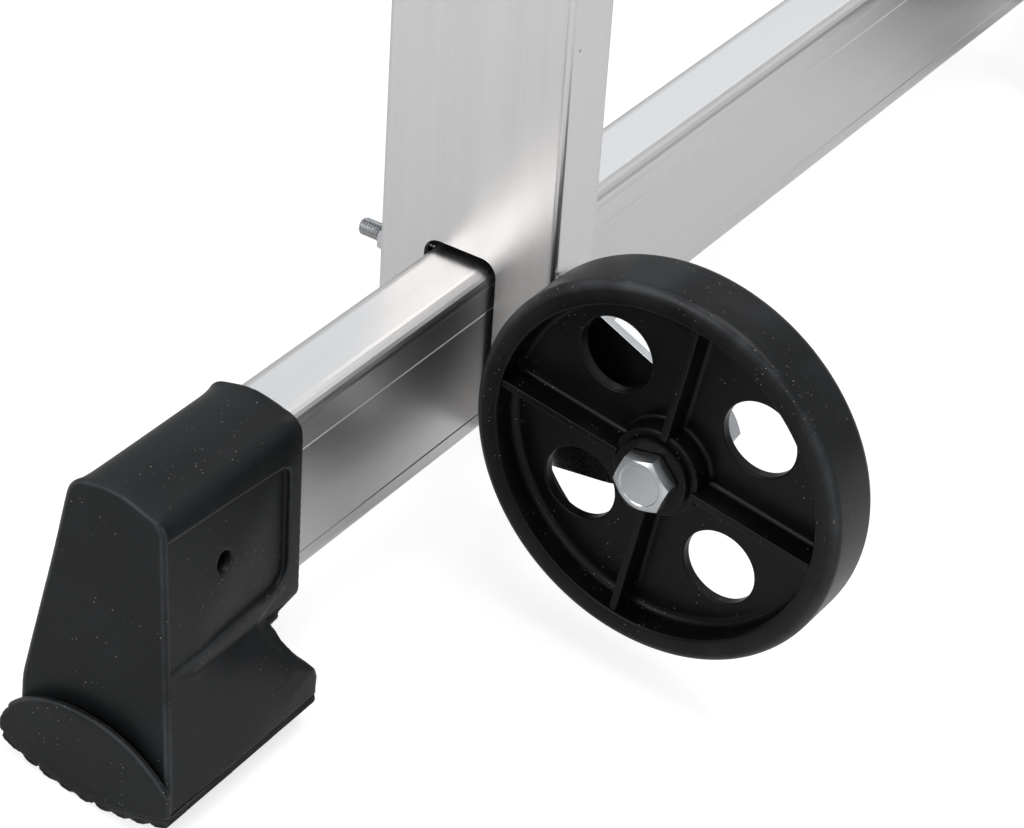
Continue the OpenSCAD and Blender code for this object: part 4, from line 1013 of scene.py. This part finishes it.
fasteners("axle_bolt_set", bolt_shape(10, AXLE_L, 26, washer=False), on_axles(AXLE_HEAD, 12.0),
          "near_leg_frame", "axle_bolts")
washer = lathe([(5.1, -AXLE_WASHER), (10.3, -AXLE_WASHER), (10.5, 0.2 - AXLE_WASHER), (10.5, -0.2),
                (10.3, 0), (5.1, 0)], 48, closed=True)
nut_and_washer = joined(nut_shape(10), moved(washer, Matrix.Translation((0, 0, -BRACKET))))
fasteners("axle_nut_set", nut_and_washer, on_axles(BRACKET, 20.0), "near_leg_frame", "axle_nuts")

# %% [markdown]
# ## Lock pins
# Each lock pin is a plated rod with a ring that its spring bears on, pulled by a black knob with soft
# flutes for the fingers. The flutes come from letting the lathe's radius swell and shrink as it goes
# round.

# %% Lock pins
FOLD = 98
LOCK_D, LOCK_GAP, KNOB_X, ROD_X = 8.0, 0.4, -58.0, -53.3
LOCK_OFF = (STILE_W + LOCK_D) / 2 + LOCK_GAP
LOCK_YZ = (LOCK_OFF / math.tan(math.radians(FOLD / 2)), -LOCK_OFF)


def fluted(profile, steps, flutes, depth):
    """A turned shape whose widest part is fluted."""
    bm = lathe(profile, steps)
    widest = max(r for r, _ in profile)
    for v in bm.verts:
        radius = math.hypot(v.co.x, v.co.y)
        if radius > 0.5 * widest:
            wave = 0.5 + 0.5 * math.cos(flutes * math.atan2(v.co.y, v.co.x))
            share = (radius / widest - 0.5) / 0.5
            v.co.xy *= 1 - depth * wave * share
    return bm


def on_lock(name, bm, end, side, x):
    """A turned shape as an object on the axis of a lock pin."""
    place = corner_frame(end, side, pivot=True) @ Matrix.Translation((x, *LOCK_YZ)) @ TO_X
    return smooth(new_object(name, moved(bm, place)))


knob_profile = ([(0, 0)] + arc((10, 3), 3, -90, 0, 6) + arc((10, 7.22), 3, 0, 42.9, 5)
                + arc((7.37, 13), 1, 42.9, 90, 3) + [(0, 14)])
rod_profile = [(0, 0), (4, 0), (4, 33.8), (5.94, 33.8), (5.94, 35.8), (4, 35.8), (4, 51.2), (3.4, 51.8),
               (0, 51.8)]
for end in ENDS:
    for side in SIDES:
        lock = f"lock_{end}_{side}"
        knob = on_lock(lock + "_knob", fluted(knob_profile, 96, flutes=8, depth=0.09), end, side, KNOB_X)
        piece(knob, lock, cap_plastic, f"lock_pin_{end}_{side}")
        piece(on_lock(lock + "_rod", lathe(rod_profile, 40), end, side, ROD_X), lock, zinc)

# %% [markdown]
# ## Floor and light
# The photograph has a plain white ground and soft light, strongest from above. A pale floor, a white
# world and four large area lamps do the same. The camera sees the world white. Reflections see it
# white above and greyer towards the horizon, as in a room, which gives metal its gradients, and it
# lights the object less, so that the lamps can model the shapes. The floor gets a little glow for the
# camera, which makes it white in the open and leaves it a soft shadow under the feet.

# %% Floor
floor = new_object("floor", prism([(-9, -9), (9, -9), (9, 9), (-9, 9)], -0.02, -0.0002))
floor_material = bpy.data.materials.new("pale_floor")
floor_material.use_nodes = True
tree = floor_material.node_tree
tree.nodes.clear()
rays = tree.nodes.new("ShaderNodeLightPath").outputs
glow = weighed(tree, (rays["Is Camera Ray"], 0.72), (rays["Is Glossy Ray"], 0.1))
pale = mixed(tree, rays["Is Glossy Ray"], (0.50, 0.50, 0.50, 1), (0.82, 0.82, 0.82, 1))
matt = node(tree, "ShaderNodeBsdfDiffuse", {"Color": pale})
white = node(tree, "ShaderNodeEmission", {"Color": (1, 1, 1, 1), "Strength": glow})
both = node(tree, "ShaderNodeAddShader", {0: matt.outputs[0], 1: white.outputs[0]})
tree.links.new(both.outputs[0], node(tree, "ShaderNodeOutputMaterial").inputs["Surface"])
floor.data.materials.append(floor_material)

# %% World and lamps
world = bpy.data.worlds.new("studio")
bpy.context.scene.world = world
world.use_nodes = True
tree = world.node_tree
tree.nodes.clear()
rays = tree.nodes.new("ShaderNodeLightPath").outputs
way = node(tree, "ShaderNodeSeparateXYZ",
           {"Vector": tree.nodes.new("ShaderNodeTexCoord").outputs["Generated"]})
sky = ramp(tree, way.outputs["Z"], 0.0, 0.5, 0.45, 1.0)
reflected = maths(tree, "MULTIPLY", sky, maths(tree, "MAXIMUM", rays["Is Glossy Ray"],
                                               rays["Is Transmission Ray"]))
strength = maths(tree, "MAXIMUM", rays["Is Camera Ray"], maths(tree, "MAXIMUM", reflected, 0.42))
air = mixed(tree, rays["Is Camera Ray"], (0.95, 0.975, 1, 1), (1, 1, 1, 1))
backdrop = node(tree, "ShaderNodeBackground", {"Color": air, "Strength": strength})
tree.links.new(backdrop.outputs[0], node(tree, "ShaderNodeOutputWorld").inputs["Surface"])


def lamp(name, spot, aim, size, power, tint=(1, 1, 1)):
    """A large square area lamp that looks at a point."""
    data = bpy.data.lights.new(name, "AREA")
    data.shape, data.size, data.energy, data.color = "SQUARE", size, power, tint
    thing = linked(name, data)
    thing.location = spot
    thing.rotation_euler = (Vector(aim) - Vector(spot)).to_track_quat("-Z", "Y").to_euler()


lamp("overhead", (0.2, -0.7, 3.2), (0, -0.4, 0.3), 2.4, 70)
lamp("left_front", (-2.6, -2.2, 1.9), (0, -0.4, 0.2), 1.6, 10)
lamp("left_back", (-2.6, 0.45, 1.6), (-0.2, -0.8, 0.1), 1.6, 34)
lamp("right_back", (2.5, 0.9, 1.8), (0, -0.6, 0.2), 1.6, 4.7, (0.88, 0.94, 1.0))
print("lamps", len(bpy.data.lights))
